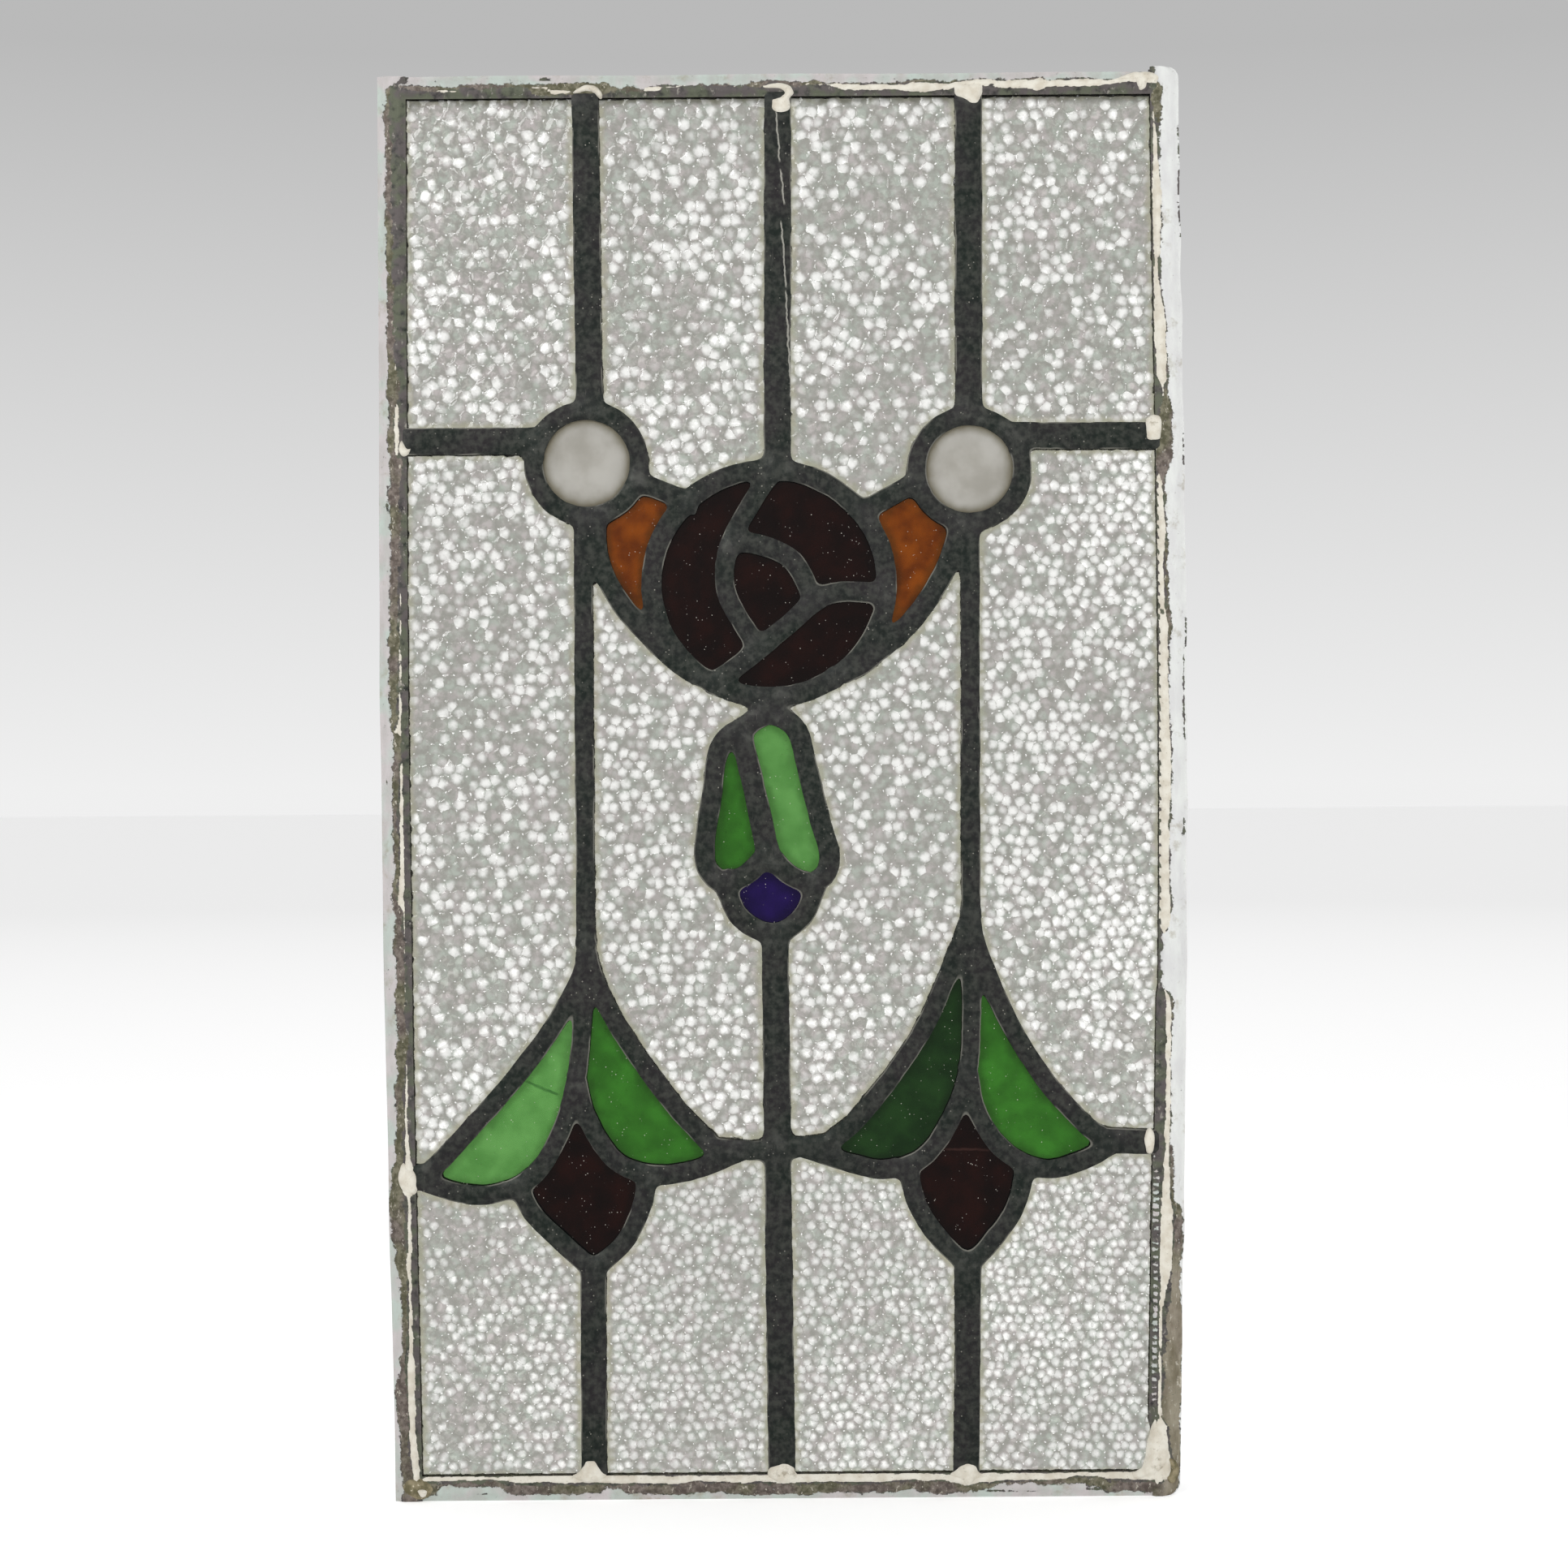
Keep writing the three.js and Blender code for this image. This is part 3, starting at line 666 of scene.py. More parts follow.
COATS_RIGHT = [
    (0, 0.4, 12.6, 12.6, 12.6), (5, 0.4, 12, 11.4, 12.6), (9, 0.4, 4, 3.8, 14),
    (24, 0.4, 5, 5.5, 14), (31, 0.3, 6, 6.5, 13),
    (35, 0.3, 8.4, 8.6, 10.8), (62, 0.3, 8.6, 9.2, 10.9), (84, 0.3, 6, 8.8, 10.9),
    (97, 0.3, 5, 6, 10.8), (103, 0.4, 4.6, 5, 10.8), (122, 0.5, 5, 5, 10.8),
    (127, 1, 4.4, 5, 10.9), (131, 4.6, 6, 6.2, 10.6), (150, 5.4, 6.4, 6.8, 9.6),
    (156, 6, 7, 7, 9.2), (162, 6.4, 6.6, 6.6, 9.4), (222, 6.6, 6.8, 6.8, 9.4),
    (227, 10.8, 10.8, 10.8, 10.8), (250, 10.8, 10.8, 10.8, 10.8), (254, 8, 8, 8, 12.8),
    (262, 7, 7, 7, 12.8), (275, 7.6, 7.6, 7.6, 12.9), (300, 7.8, 8, 8, 12.8),
    (325, 6.8, 6.8, 6.8, 12.9), (350, 8, 8, 8, 12.9), (380, 8, 8.4, 8.2, 12.8),
    (388, 6.6, 8.4, 8.2, 12.8), (396, 7, 10, 9.6, 12.8), (401, 8.2, 9, 9.2, 12.8),
    (416, 8.4, 9.8, 9.8, 12.8), (430, 8, 8.4, 8.4, 12.8), (452, 9, 9.4, 9.6, 12.8),
    (457, 7, 11.6, 11, 11.4), (463, 5.6, 11.8, 11.6, 11.6), (478, 5, 12, 12, 12),
    (486, 5, 9.4, 9.4, 9.4), (493, 7, 9, 8.8, 9.6), (498, 7, 7.4, 7.4, 11.6),
    (506, 6.6, 6.8, 6.8, 12.4), (520, 7, 7, 7, 13), (532, 8.4, 8.4, 8.6, 12.6),
    (542, 9.2, 9.4, 9.4, 12.4), (556, 9.2, 9.2, 9.2, 12.4), (578, 8, 8, 8, 12.6),
    (595, 9.2, 9.4, 9.4, 12.4), (610, 8.2, 9.8, 10, 12.2), (619, 7.2, 11.4, 11.4, 11.4),
    (628, 7.4, 11.4, 11.4, 11.4), (632, 10, 12, 12, 12), (637, 10, 12, 12, 12),
]
COATS_HEAD = [
    (-180, 5, 5, 5, 5), (-168, 4.4, 4.6, 4.6, 4.6), (-162, 4.4, 6.2, 6, 6),
    (-152, 4.6, 6.6, 6.6, 6.6), (-150, 4.6, 6.8, 6.4, 7.6), (-143, 4.6, 6.6, 6.4, 7.4),
    (-140, 4.2, 5.4, 5.4, 5.4), (-112, 4.2, 5.6, 5.4, 5.6), (-108, 3.8, 8.6, 5, 6.2),
    (-103, 3.6, 8.6, 5, 6.4), (-101, 3.6, 9, 6.6, 8.8), (-94, 3.6, 9, 6.8, 8.6),
    (-90, 4, 9, 7.4, 7.4), (-79, 4, 9, 7.4, 7.4), (-76, 4, 8.4, 8, 8), (-71, 6, 7, 6.8, 6.8),
    (-60, 6.2, 7.2, 7, 7), (-58, 5, 5, 4.8, 7.6), (-53, 5, 5, 4.9, 7.4), (-51, 5, 5, 5, 5.9),
    (-20, 5, 5, 5, 5.9), (-13, 5, 6, 5, 5.6), (-9, 3.8, 6.6, 5, 5), (-3, 3.6, 4, 4, 4),
    (8, 3.6, 6.4, 6.4, 6.4), (13, 3.8, 5, 4.6, 5.4), (22, 4, 5, 4.8, 6), (29, 4.2, 4.6, 4.6, 7.8),
    (56, 4.6, 4.8, 4.8, 8.4), (60, 3.8, 4, 4, 8.7), (76, 4.6, 4.8, 4.8, 8.2), (79, 3.4, 4, 3.6, 7),
    (92, 3, 3, 2.8, 6), (98, 3.2, 3.6, 3.4, 7.2), (112, 3, 3.4, 3.4, 8), (117, 2.4, 3, 2.4, 8.6),
    (120, 3.4, 4, 3.6, 7.2), (138, 3.2, 3.6, 3.4, 7), (147, 3.4, 4, 3.8, 6.2),
    (154, 2.4, 3, 2.6, 5.4), (163, 0.6, 1, 0.8, 5.6), (180, 0.6, 1, 0.8, 5.6),
]
COATS_FOOT = [
    (-178, 0.5, 8.4, 8.4, 8.4), (-166, 0.6, 8, 8, 8), (-161, 1, 8.2, 8.4, 11.2),
    (-157, 3, 7.6, 8.6, 11.4), (-154, 6.6, 7.8, 8.8, 11.4), (-128, 6.4, 8.6, 9.2, 11.2),
    (-125, 4, 7.2, 9, 11.3), (-121, 3.2, 7.2, 7.8, 11.3), (-90, 2.9, 7.2, 7.6, 11.6),
    (-84, 3, 7, 7.4, 11.6), (-81, 5.4, 6.8, 7.2, 11.6), (-75, 5.6, 6.8, 7.2, 11.4),
    (-71, 3, 7, 7.3, 11.4), (-65, 3.4, 7, 7.2, 11.4), (-58, 2.4, 6.8, 7, 11.2),
    (-50, 1.4, 6.2, 6.6, 11), (-41, 2.4, 8.2, 8.4, 10.8), (-34, 2.6, 7.4, 7.6, 10.8),
    (-20, 2, 6.8, 7, 11), (-12, 1.2, 7.4, 7.8, 11), (-4, 1.2, 6.4, 6.6, 11.4),
    (6, 1.8, 6.8, 7.2, 11.6), (30, 2.4, 6.8, 7.2, 11.6), (44, 2.8, 7, 7.4, 11.4),
    (50, 4.2, 7.6, 8, 11), (57, 4, 7.6, 8, 11.2), (60, 2.4, 7.4, 7.6, 11.1),
    (68, 1.8, 7.6, 8, 10.8), (76, 2, 6, 6, 11.2), (80, 2.4, 4.8, 4.8, 11.4),
    (86, 4, 6.6, 6.8, 11.2),
    (100, 5.4, 7.2, 7.4, 10.8), (122, 5.2, 7.4, 7.8, 11), (128, 5.6, 8.4, 9.2, 11.2),
    (138, 5, 8.2, 9.2, 11.2), (142, 2.6, 7, 8, 11.2), (152, 1.8, 6.8, 7.6, 11.4),
    (160, 1.6, 6.4, 6.8, 11.8), (178, 0.6, 6, 6.6, 11.8),
]
# How wide each came is at places along it: low on the right it spreads over the glass, and the
# putty of the foot laps over its inner edge.
WIDTH_LEFT = [(0, 12.0), (200, 12.2), (260, 12.6)]
WIDTH_RIGHT = [(0, 12.6), (26, 12.8), (34, 14.6), (155, 14.4), (165, 13.6), (222, 13.4),
               (228, 12.6)]
WIDTH_HEAD = [(0, END_BORDER)]
WIDTH_FOOT = [(0, END_BORDER + 0.9)]
# Stretches with a row of marks, dark squares between pale ones or dots cut in the putty: start,
# end, pitch, and the two distances in from the outer edge that the marks lie between.
PRINTS_RIGHT = [(33, 152, 3.2, 11.3, 13.8), (254, 457, 5.0, 11.6, 12.8)]
# Places where the coats are gone and the dark lead shows: start, end, and the two distances in.
BARE_RIGHT = [
    (541, 553, 9.2, 10.3), (458, 476, 0, 0.8), (560, 612, 0, 0.6), (336, 376, 1.0, 1.7),
    (293, 303, 1.0, 2.2), (377, 392, 0, 0.6), (410, 421, 9, 9.8), (296, 302, 8, 8.8),
    (392, 396, 10, 11.6), (493, 496, 7.4, 8.8),
]
BARE_HEAD = [(93, 97, 5.2, 7), (78, 83, 5.6, 6.4), (-107, -101, 1, 2.6), (99, 101.5, 2.4, 3.6),
             (-171, -164, 0.2, 3.4)]
BARE_FOOT = [(-141, -133, 2.9, 3.7), (88, 97, 2.4, 3.4), (97, 112, 2.5, 3.0), (131, 140, 3, 3.9)]
BARE_LEFT = [(482, 488, 4.4, 5.4), (439, 453, 3.6, 4.2), (319, 323, 2.0, 2.8)]


def coats_at(s, u, coats, prints, bare, seed):
    """The paint, the stain and the putty at stations and distances in, from 0 to 1.

    The last of the four is how far a point is inside the ridge of putty.
    """
    along, *limits = np.array(coats, float).T
    paint_to, worn_to, ridge_from, ridge_to = (np.interp(s, along, limit) for limit in limits)

    def ragged(amount, size, shift):
        coarse = noise(s, 0.6 * u, size, seed + shift)
        return amount * (coarse + 0.6 * noise(s, u, size * 0.35, seed + shift + 1))

    paint = smoothstep(-1.0, 1.0, paint_to - u + ragged(0.8, 8, 1) + ragged(0.5, 2.4, 15))
    worn = smoothstep(-1.0, 1.0, worn_to - u + ragged(1.0, 6, 3)) * (1 - paint)
    ridge = np.minimum(u - ridge_from + ragged(0.35, 9, 5), ridge_to - u + ragged(0.4, 6, 7))
    ridge += ragged(0.2, 2.2, 16)
    putty = smoothstep(-0.1, 0.5, ridge - 0.12)
    for start, end, pitch, near, far in prints:
        here = (s > start) & (s < end) & (u > near) & (u < far)
        mark = np.sin(2 * math.pi * s / pitch + 1.2 * noise(s, 0 * s, 6, seed + 9))
        if pitch < SQUARES_UNDER:
            mark += 0.9 * noise(s, 0 * s, 9, seed + 17) + 1.0 * noise(s, u, 2, seed + 18) - 0.2
            paint = np.where(here, 0.85 * smoothstep(-0.5, 0.5, mark), paint)
            putty, worn = np.where(here, 0, putty), np.where(here, 0, worn)
        else:
            putty = np.where(here, putty * (1 - smoothstep(0.3, 0.8, mark)), putty)
    for start, end, near, far in bare:
        long = smoothstep(0, 1.5, np.minimum(s - start, end - s))
        gone = np.minimum(u - near, far - u) + ragged(0.3, 2.4, 20)
        kept = 1 - 0.8 * long * smoothstep(-0.4, 0.3, gone)
        paint, putty, worn = paint * kept, putty * kept, worn * kept
    return paint, worn, putty, ridge


def swept(columns):
    """The faces of a closed bar whose long edges are columns of as many points each."""
    count, rounds = len(columns[0]), len(columns)
    faces = []
    for k in range(rounds):
        j = (k + 1) % rounds
        faces += [[k * count + n, k * count + n + 1, j * count + n + 1, j * count + n]
                  for n in range(count - 1)]
    faces.append([k * count for k in range(rounds)])
    faces.append([k * count + count - 1 for k in reversed(range(rounds))])
    points = np.vstack(columns)
    first = points[[faces[0][0], faces[0][1], faces[0][3]]]
    if np.cross(first[1] - first[0], first[2] - first[0])[1] > 0:
        faces = [face[::-1] for face in faces]
    return points, faces


def border_came(name, rows, place, corner, widths, coats, prints, bare, seed):
    """One border came, swept along the panel's edge.

    rows are the stations along it. place takes stations and distances inwards from the outer edge
    and gives x and z. corner gives how far the outer edge is cut back at a station.
    """
    width = np.interp(rows, *np.array(widths, float).T)[:, None]
    s, share = np.meshgrid(rows, np.linspace(0, 1, ACROSS), indexing="ij")
    u = share * width
    slope = smoothstep(0, BORDER_SHOULDER, u)
    inner = smoothstep(width - BORDER_BEVEL, width, u)
    face = BORDER_EDGE + (FACE - BORDER_EDGE) * slope - (FACE - CHANNEL - LEAF_EDGE) * inner
    paint, worn, putty, ridge = coats_at(s, u, coats, prints, bare, seed)
    lumps = 0.75 + 0.35 * noise(s, u, 4, seed + 11) + 0.15 * noise(s, u, 1.6, seed + 12)
    thick = np.clip(ridge / 1.6, 0.25, 1) * PUTTY_RISE
    depth = face + putty * lumps * thick + PAINT_RISE * paint * (1 - putty)
    depth += 0.05 * noise(s, u, 6, seed + 13) + (0.03 + 0.06 * worn) * noise(s, u, 2, seed + 14)

    cut = corner(rows)[:, None]
    x, z = place(s, cut + u * (width - cut) / width)
    cut, width = cut[:, 0], width[:, 0]
    section = [
        (width, -CHANNEL), (CHANNEL_FLOOR, -CHANNEL), (CHANNEL_FLOOR, CHANNEL), (width, CHANNEL),
        (width, CHANNEL + LEAF_EDGE), (width - BORDER_BEVEL, BACK), (BORDER_SHOULDER, BACK),
        (0, BORDER_EDGE), (0, 0),
    ]
    columns = [np.stack([x[:, k], -depth[:, k], z[:, k]], 1) for k in range(ACROSS)]
    for v, y in section:
        bx, bz = place(rows, cut + v * (width - cut) / width)
        columns.append(np.stack([bx, y + 0 * rows, bz], 1))
    piece = add_mesh(name, *swept(columns), crease=45)

    # The outer edge keeps some paint and stain, and the back a trace of them.
    def with_back(values, edge=0.0, rest=0.0):
        sides = np.full((len(section), len(rows)), rest)
        sides[-2:] = edge
        return np.concatenate([values.T.ravel(), sides.ravel()])

    add_values(piece, putty=with_back(putty), paint=with_back(paint, 0.7, 0.12),
               worn=with_back(worn, 0.5, 0.3))
    return piece


def rounded_end(end, radius):
    """How far a rounded corner cuts the outer edge back, at stations near that end."""
    def cut(s):
        past = np.clip(radius - np.abs(end - s), 0, radius)
        return radius - np.sqrt(radius**2 - past**2)
    return cut


def border():
    """Makes the four border cames, each with the node that it stands for."""
    def stations(low, high, fine=(0, 0)):
        """Places along a came: close together at its ends, and twice as close where it's fine."""
        ends = np.array([0, 0.25, 0.6, 1.1, 1.8, 2.7, 3.8, 5, 6])
        middle = np.arange(low + 7, high - 7, ROW_STEP)
        close = np.arange(*fine, ROW_STEP / 2)
        inner = np.concatenate([middle[(middle < fine[0]) | (middle > fine[1])], close])
        return np.concatenate([low + ends, np.sort(inner), high - ends[::-1]])

    def at_left(s, u):
        return outer_left(s) + u + 0.3 * noise(s, 0 * s, 40, 81) * (1 - u / BORDER), s

    def at_right(s, u):
        return outer_right(s) - u + 0.35 * noise(s, 0 * s, 17, 82) * (1 - u / BORDER), s

    def at_head(s, u):
        return s, HEIGHT - u + 0.3 * noise(s, 0 * s, 60, 83) * (1 - u / BORDER)

    def at_foot(s, u):
        return s, u + 0 * s

    def square(s):
        return 0 * s

    head_end = RIGHT_CAME_OVERRUN + HEIGHT
    head_cut = rounded_end(head_end, CORNER_HEAD)
    foot_cut = rounded_end(0, CORNER_FOOT)

    def right_corners(s):
        return head_cut(s) + foot_cut(s)

    tuck = BORDER - BORDER_BEVEL
    head = (outer_left(HEIGHT) + tuck, outer_right(HEIGHT) - tuck)
    foot = (outer_left(0.0) + tuck, outer_right(0.0) - tuck)
    squares = PRINTS_RIGHT[0][:2]
    cames_made = [
        ("border_left", stations(0, HEIGHT), at_left, square, WIDTH_LEFT, COATS_LEFT, [],
         BARE_LEFT),
        ("border_right", stations(0, head_end, squares), at_right, right_corners, WIDTH_RIGHT,
         COATS_RIGHT, PRINTS_RIGHT, BARE_RIGHT),
        ("border_top", stations(*head), at_head, square, WIDTH_HEAD, COATS_HEAD, [], BARE_HEAD),
        ("border_foot", stations(*foot), at_foot, square, WIDTH_FOOT, COATS_FOOT, [], BARE_FOOT),
    ]
    return [(border_came("lead_" + node, *how, seed=100 * order + 100), node)
            for order, (node, *how) in enumerate(cames_made)]


# ------------------------------------------------------------------ lumps of putty

# Lumps left over the joints: their kind of putty, how proud they stand, and their outline.
LUMPS = {
    "putty_head_left": ("cream", 1.0, [
        (-91.5, 627), (-88, 629.6), (-84.5, 630.8), (-80.5, 629.4), (-78.3, 626.6), (-78.8, 624.2),
        (-80.2, 625.4), (-81.4, 626.8), (-84.5, 627.8), (-88, 626.9)]),
    "putty_head_centre": ("cream", 1.0, [
        (-7.3, 629.4), (-4.7, 630.4), (-0.9, 631), (3.6, 630.7), (6.3, 629), (7.2, 626.4),
        (5.4, 624), (5.2, 619.6), (2, 617.6), (-2.5, 618.6), (-2.9, 621.4), (-2.6, 623.6),
        (1, 624.9), (3.0, 626.6), (1, 628), (-2.8, 628.2), (-5.4, 628.2)]),
    "putty_head_right": ("cream", 1.0, [
        (77.5, 629.8), (84, 630.4), (91, 629.8), (91.3, 627), (90.2, 623.5), (88.6, 621),
        (85.4, 620.9), (82.6, 622.6), (79.2, 625), (78.4, 627)]),
    "putty_head_corner": ("cream", 0.8, [
        (151.5, 631.8), (157, 634), (161, 634.6), (166.5, 634.4), (170, 632.5), (169.4, 630),
        (165.6, 630.2), (163.8, 627.2), (161.2, 626.6), (160.2, 628.4), (159, 630.6)]),
    "putty_foot_left": ("cream", 1.1, [
        (-96.2, 10.8), (-93.2, 12.6), (-91.2, 15.4), (-90, 17.6), (-86, 17.8), (-84.4, 15.4),
        (-82.4, 12.4), (-80.8, 10.6), (-86, 7.6), (-92, 8)]),
    "putty_foot_centre": ("cream", 1.1, [
        (-9, 10.4), (-8.6, 13), (-6.4, 15), (-1, 16.2), (2.2, 14.2), (3.4, 11.6), (4.6, 9.6),
        (1.6, 7.4), (-2, 6.4), (-5.6, 7.4)]),
    "putty_foot_right": ("cream", 1.1, [
        (72.4, 10.2), (74.4, 11.8), (76.4, 14.4), (80, 15.6), (83.4, 14.2), (84.6, 11.6),
        (86.2, 10), (84, 7.6), (80.4, 5), (76.6, 7.4)]),
    "putty_link_left": ("cream", 1.2, [
        (-170.4, 151.4), (-172.8, 146.4), (-172.4, 141), (-170, 137.4), (-165.4, 137),
        (-164.2, 140), (-164.6, 146), (-167.6, 149.2)]),
    "putty_link_right": ("cream", 0.8, [
        (162.2, 164.6), (159.8, 160.6), (160, 156.6), (161.4, 152.6), (163.2, 152.8),
        (164.4, 157), (164.2, 162)]),
    "putty_cross_left": ("cream", 0.8, [
        (-168.8, 473), (-170.2, 468.6), (-168.6, 466), (-165.8, 466.6), (-164.4, 469.2),
        (-166.2, 469.2), (-167.6, 470.8)]),
    "putty_cross_right": ("cream", 1.0, [
        (169.6, 480.8), (169.4, 472), (168, 470.4), (163.5, 470.8), (162.8, 474), (163.4, 480.2),
        (166, 481.6)]),
    "putty_foot_corner_left": ("stained", 1.2, [
        (-171.6, 5.6), (-170.4, 9.2), (-166, 10.2), (-160.6, 8.8), (-158, 5.4), (-160.4, 2),
        (-165, 0.8), (-168.6, 2.4)]),
    "putty_foot_knot": ("cream", 2.0, [
        (-165.2, 5.4), (-162.4, 6.4), (-160.2, 5.2), (-161, 2.4), (-163.2, 1.6), (-164.8, 3.2)]),
    "putty_foot_corner_right": ("cream", 1.3, [
        (163.8, 35), (161, 27), (158.7, 16), (157, 12), (152.6, 9.8), (154, 7.4), (161, 8.4),
        (166, 10.6), (169.6, 14), (170.2, 20), (168.4, 26), (165.6, 31)]),
    "putty_foot_swirl": ("stained", 1.1, [
        (169.4, 17.4), (173.2, 15), (173.6, 8.4), (170.8, 5.6), (168.4, 8.4), (170.2, 12)]),
}
LUMP_STEP = 0.5
LUMP_SPANS = 5


def rounded(points):
    """A closed curve through points."""
    line = spline([*points[-2:], *points, *points[:2]], LUMP_SPANS)
    return line[2 * LUMP_SPANS:(2 + len(points)) * LUMP_SPANS]


def lumps():
    """Makes the lumps of old putty that sit on the joints and in the corners."""
    made = []
    seat = FACE - 0.4
    for order, (name, (kind, proud, points)) in enumerate(LUMPS.items()):
        seed = 900 + 10 * order
        loop = rounded(points)
        grid = Grid(loop.min(0) - 2, loop.max(0) + 2, LUMP_STEP)
        x, z = grid.px, grid.pz
        field = pane_field([loop], x, z) + 0.22 * noise(x, z, 3, seed)
        field += 0.12 * noise(x, z, 1.3, seed + 1)
        sheet = Sheet(grid, np.minimum(field, inset(x, z) - 0.3))
        share = np.clip(grid.at(field, sheet.points) / (0.6 * field.max()), 0, 1)
        px, pz = sheet.points[:, 0], sheet.points[:, 1]
        rough = 0.14 * noise(px, pz, 3, seed + 2) + 0.08 * noise(px, pz, 1.3, seed + 3)
        rise = (proud + 0.5) * (1 - (1 - share) ** 2) + rough * share
        points, faces = closed_cap(sheet.points, sheet.faces, -seat - rise, -seat + 0.6)
        made.append((add_mesh(name, points, faces, crease=70), kind))
    return made


# ------------------------------------------------------------------ the panes

COLOUR_STEP = 1.1
ROW_PITCH = 0.87
PEBBLE_JITTER = 0.6
PEBBLE_DEPTH = 0.3
PEBBLE_ROOM = 3.0
# The painted light of the clear glass: how big the patches are where more pebbles get a painted
# bright spot, and where in its pebble that spot is painted.
PAINTED_LIT_PATCH = 24.0
SPOT_AIM = (0.62, 0.62)
GROOVE_STEP = 1.1
RING_SHARES = (0.87, 0.6)


def outlines(node):
    """The loops round the front face of a pane's solid, as [x, z] in millimetres."""
    mesh = nodes[node].data
    spots = {}
    places = []
    number = []
    for vertex in mesh.vertices:
        key = tuple(round(c * 1e5) for c in vertex.co)
        if key not in spots:
            spots[key] = len(places)
            places.append(np.array(vertex.co) / MM)
        number.append(spots[key])
    places = np.array(places)
    front = places[:, 1].min() + 0.05
    faces = [[number[n] for n in p.vertices] for p in mesh.polygons]
    faces = [face for face in faces if all(places[n][1] < front for n in face)]
    return [places[loop][:, [0, 2]] for loop in loops_of(rim_of(faces))]


def pane_field(loops, x, z):
    """The distance inwards from a pane's outline."""
    gap = np.min([distance_to(np.vstack([loop, loop[:1]]), x, z) for loop in loops], 0)
    return np.where(within(loops, x, z), gap, -gap)


def pebbles_over(low, high, size, seed):
    """The middles of the pebbles over a rectangle, in uneven rows, and six traits of each."""
    pitch = size * ROW_PITCH
    j = np.arange(math.floor(low[1] / pitch) - 1, math.ceil(high[1] / pitch) + 2)
    i = np.arange(math.floor(low[0] / size) - 2, math.ceil(high[0] / size) + 2)
    i, j = (n.ravel() for n in np.meshgrid(i, j, indexing="ij"))
    jitter_x = PEBBLE_JITTER * (hash_unit(i, j, seed) - 0.5)
    jitter_z = PEBBLE_JITTER * (hash_unit(i, j, seed + 1) - 0.5)
    x = (i + 0.5 + 0.5 * (j % 2) + jitter_x) * size
    z = (j + 0.5 + jitter_z) * pitch
    traits = np.stack([hash_unit(i, j, seed + n) for n in (2, 3, 4, 5, 6, 7)], 1)
    return np.stack([x, z], 1), traits


class Pebbles:
    """The pebbles of one pane: their shapes, and how bright a spot of light is painted on each of
    them.
    """

    def __init__(self, low, high, seed, size, flatness, lean, lit, strength):
        self.size, self.flatness, self.lean = size, flatness, lean
        self.middles, self.traits = pebbles_over(low, high, size, seed)
        # Painted light: some pebbles get a bright spot, more of them in patches.
        patch = 0.5 + 0.5 * noise(*self.middles.T, PAINTED_LIT_PATCH, seed + 8)
        chance = 0.62 * self.traits[:, 4] + 0.38 * patch
        self.lit = np.minimum(1, strength * smoothstep(0.70 - lit, 1.12 - lit, chance))

    def dip(self, own, point, share):
        """The dip of a pebble's face, share of the way from its middle to its groove.

        A flat pebble leans its own way and rounds off close to its groove, and a round one is a
        dome. The groove is as deep all over the pane.
        """
        traits = self.traits[own]
        power = 2 + self.flatness * (2.5 + 3 * traits[:, 3])
        tall = (0.10 + 0.12 * self.flatness) * (0.75 + 0.5 * traits[:, 2])
        slope = self.lean * (2 * traits[:, :2] - 1)
        tilt = (slope * (point - self.middles[own])).sum(1)
        return PEBBLE_DEPTH - (tall + tilt) * (1 - share ** power)

    def away(self, own, point):
        """How far a point is from the painted bright spot in its pebble, in pebble radii."""
        spot = 0.5 * (self.traits[own][:, [5, 3]] - SPOT_AIM)
        return np.hypot(*((point - self.middles[own]) / (0.5 * self.size) - spot).T)


def circumcentres(a, b, c):
    """The points as far from each of three corners."""
    p, q = b - a, c - a
    turn = 2 * (p[:, 0] * q[:, 1] - p[:, 1] * q[:, 0])
    pp, qq = (p**2).sum(1), (q**2).sum(1)
    x = (q[:, 1] * pp - p[:, 1] * qq) / turn
    z = (p[:, 0] * qq - q[:, 0] * pp) / turn
    return a + np.stack([x, z], 1)


def grooves(middles):
    """The points of the grooves between pebbles, the three pebbles by each, and where painted
    pins of light go.

    The points where three grooves meet come first, and a painted pin of light stands on some of
    them.
    """
    made = delaunay_2d_cdt([Vector(p) for p in middles], [], [], 0, 1e-6)
    cells = np.array([[made[3][n][0] for n in tri] for tri in made[2]])
    meets = circumcentres(*(middles[cells[:, n]] for n in range(3)))
    upright = np.sort(middles[cells][:, :, 1], 1)
    pin = upright[:, 1] - upright[:, 0] < upright[:, 2] - upright[:, 1]
    across = {}
    for k, (p, q, r) in enumerate(cells.tolist()):
        for a, b in ((p, q), (q, r), (r, p)):
            across.setdefault((min(a, b), max(a, b)), []).append(k)
    groove = [meets]
    owners = [cells]
    for pair, beside in across.items():
        if len(beside) == 2:
            start, end = meets[beside[0]], meets[beside[1]]
            count = round(float(np.hypot(*(end - start))) / GROOVE_STEP)
            share = np.arange(1, count)[:, None] / max(count, 1)
            groove.append(start + share * (end - start))
            owners.append(np.tile((*pair, pair[0]), (len(share), 1)))
    return np.vstack(groove), np.vstack(owners), pin


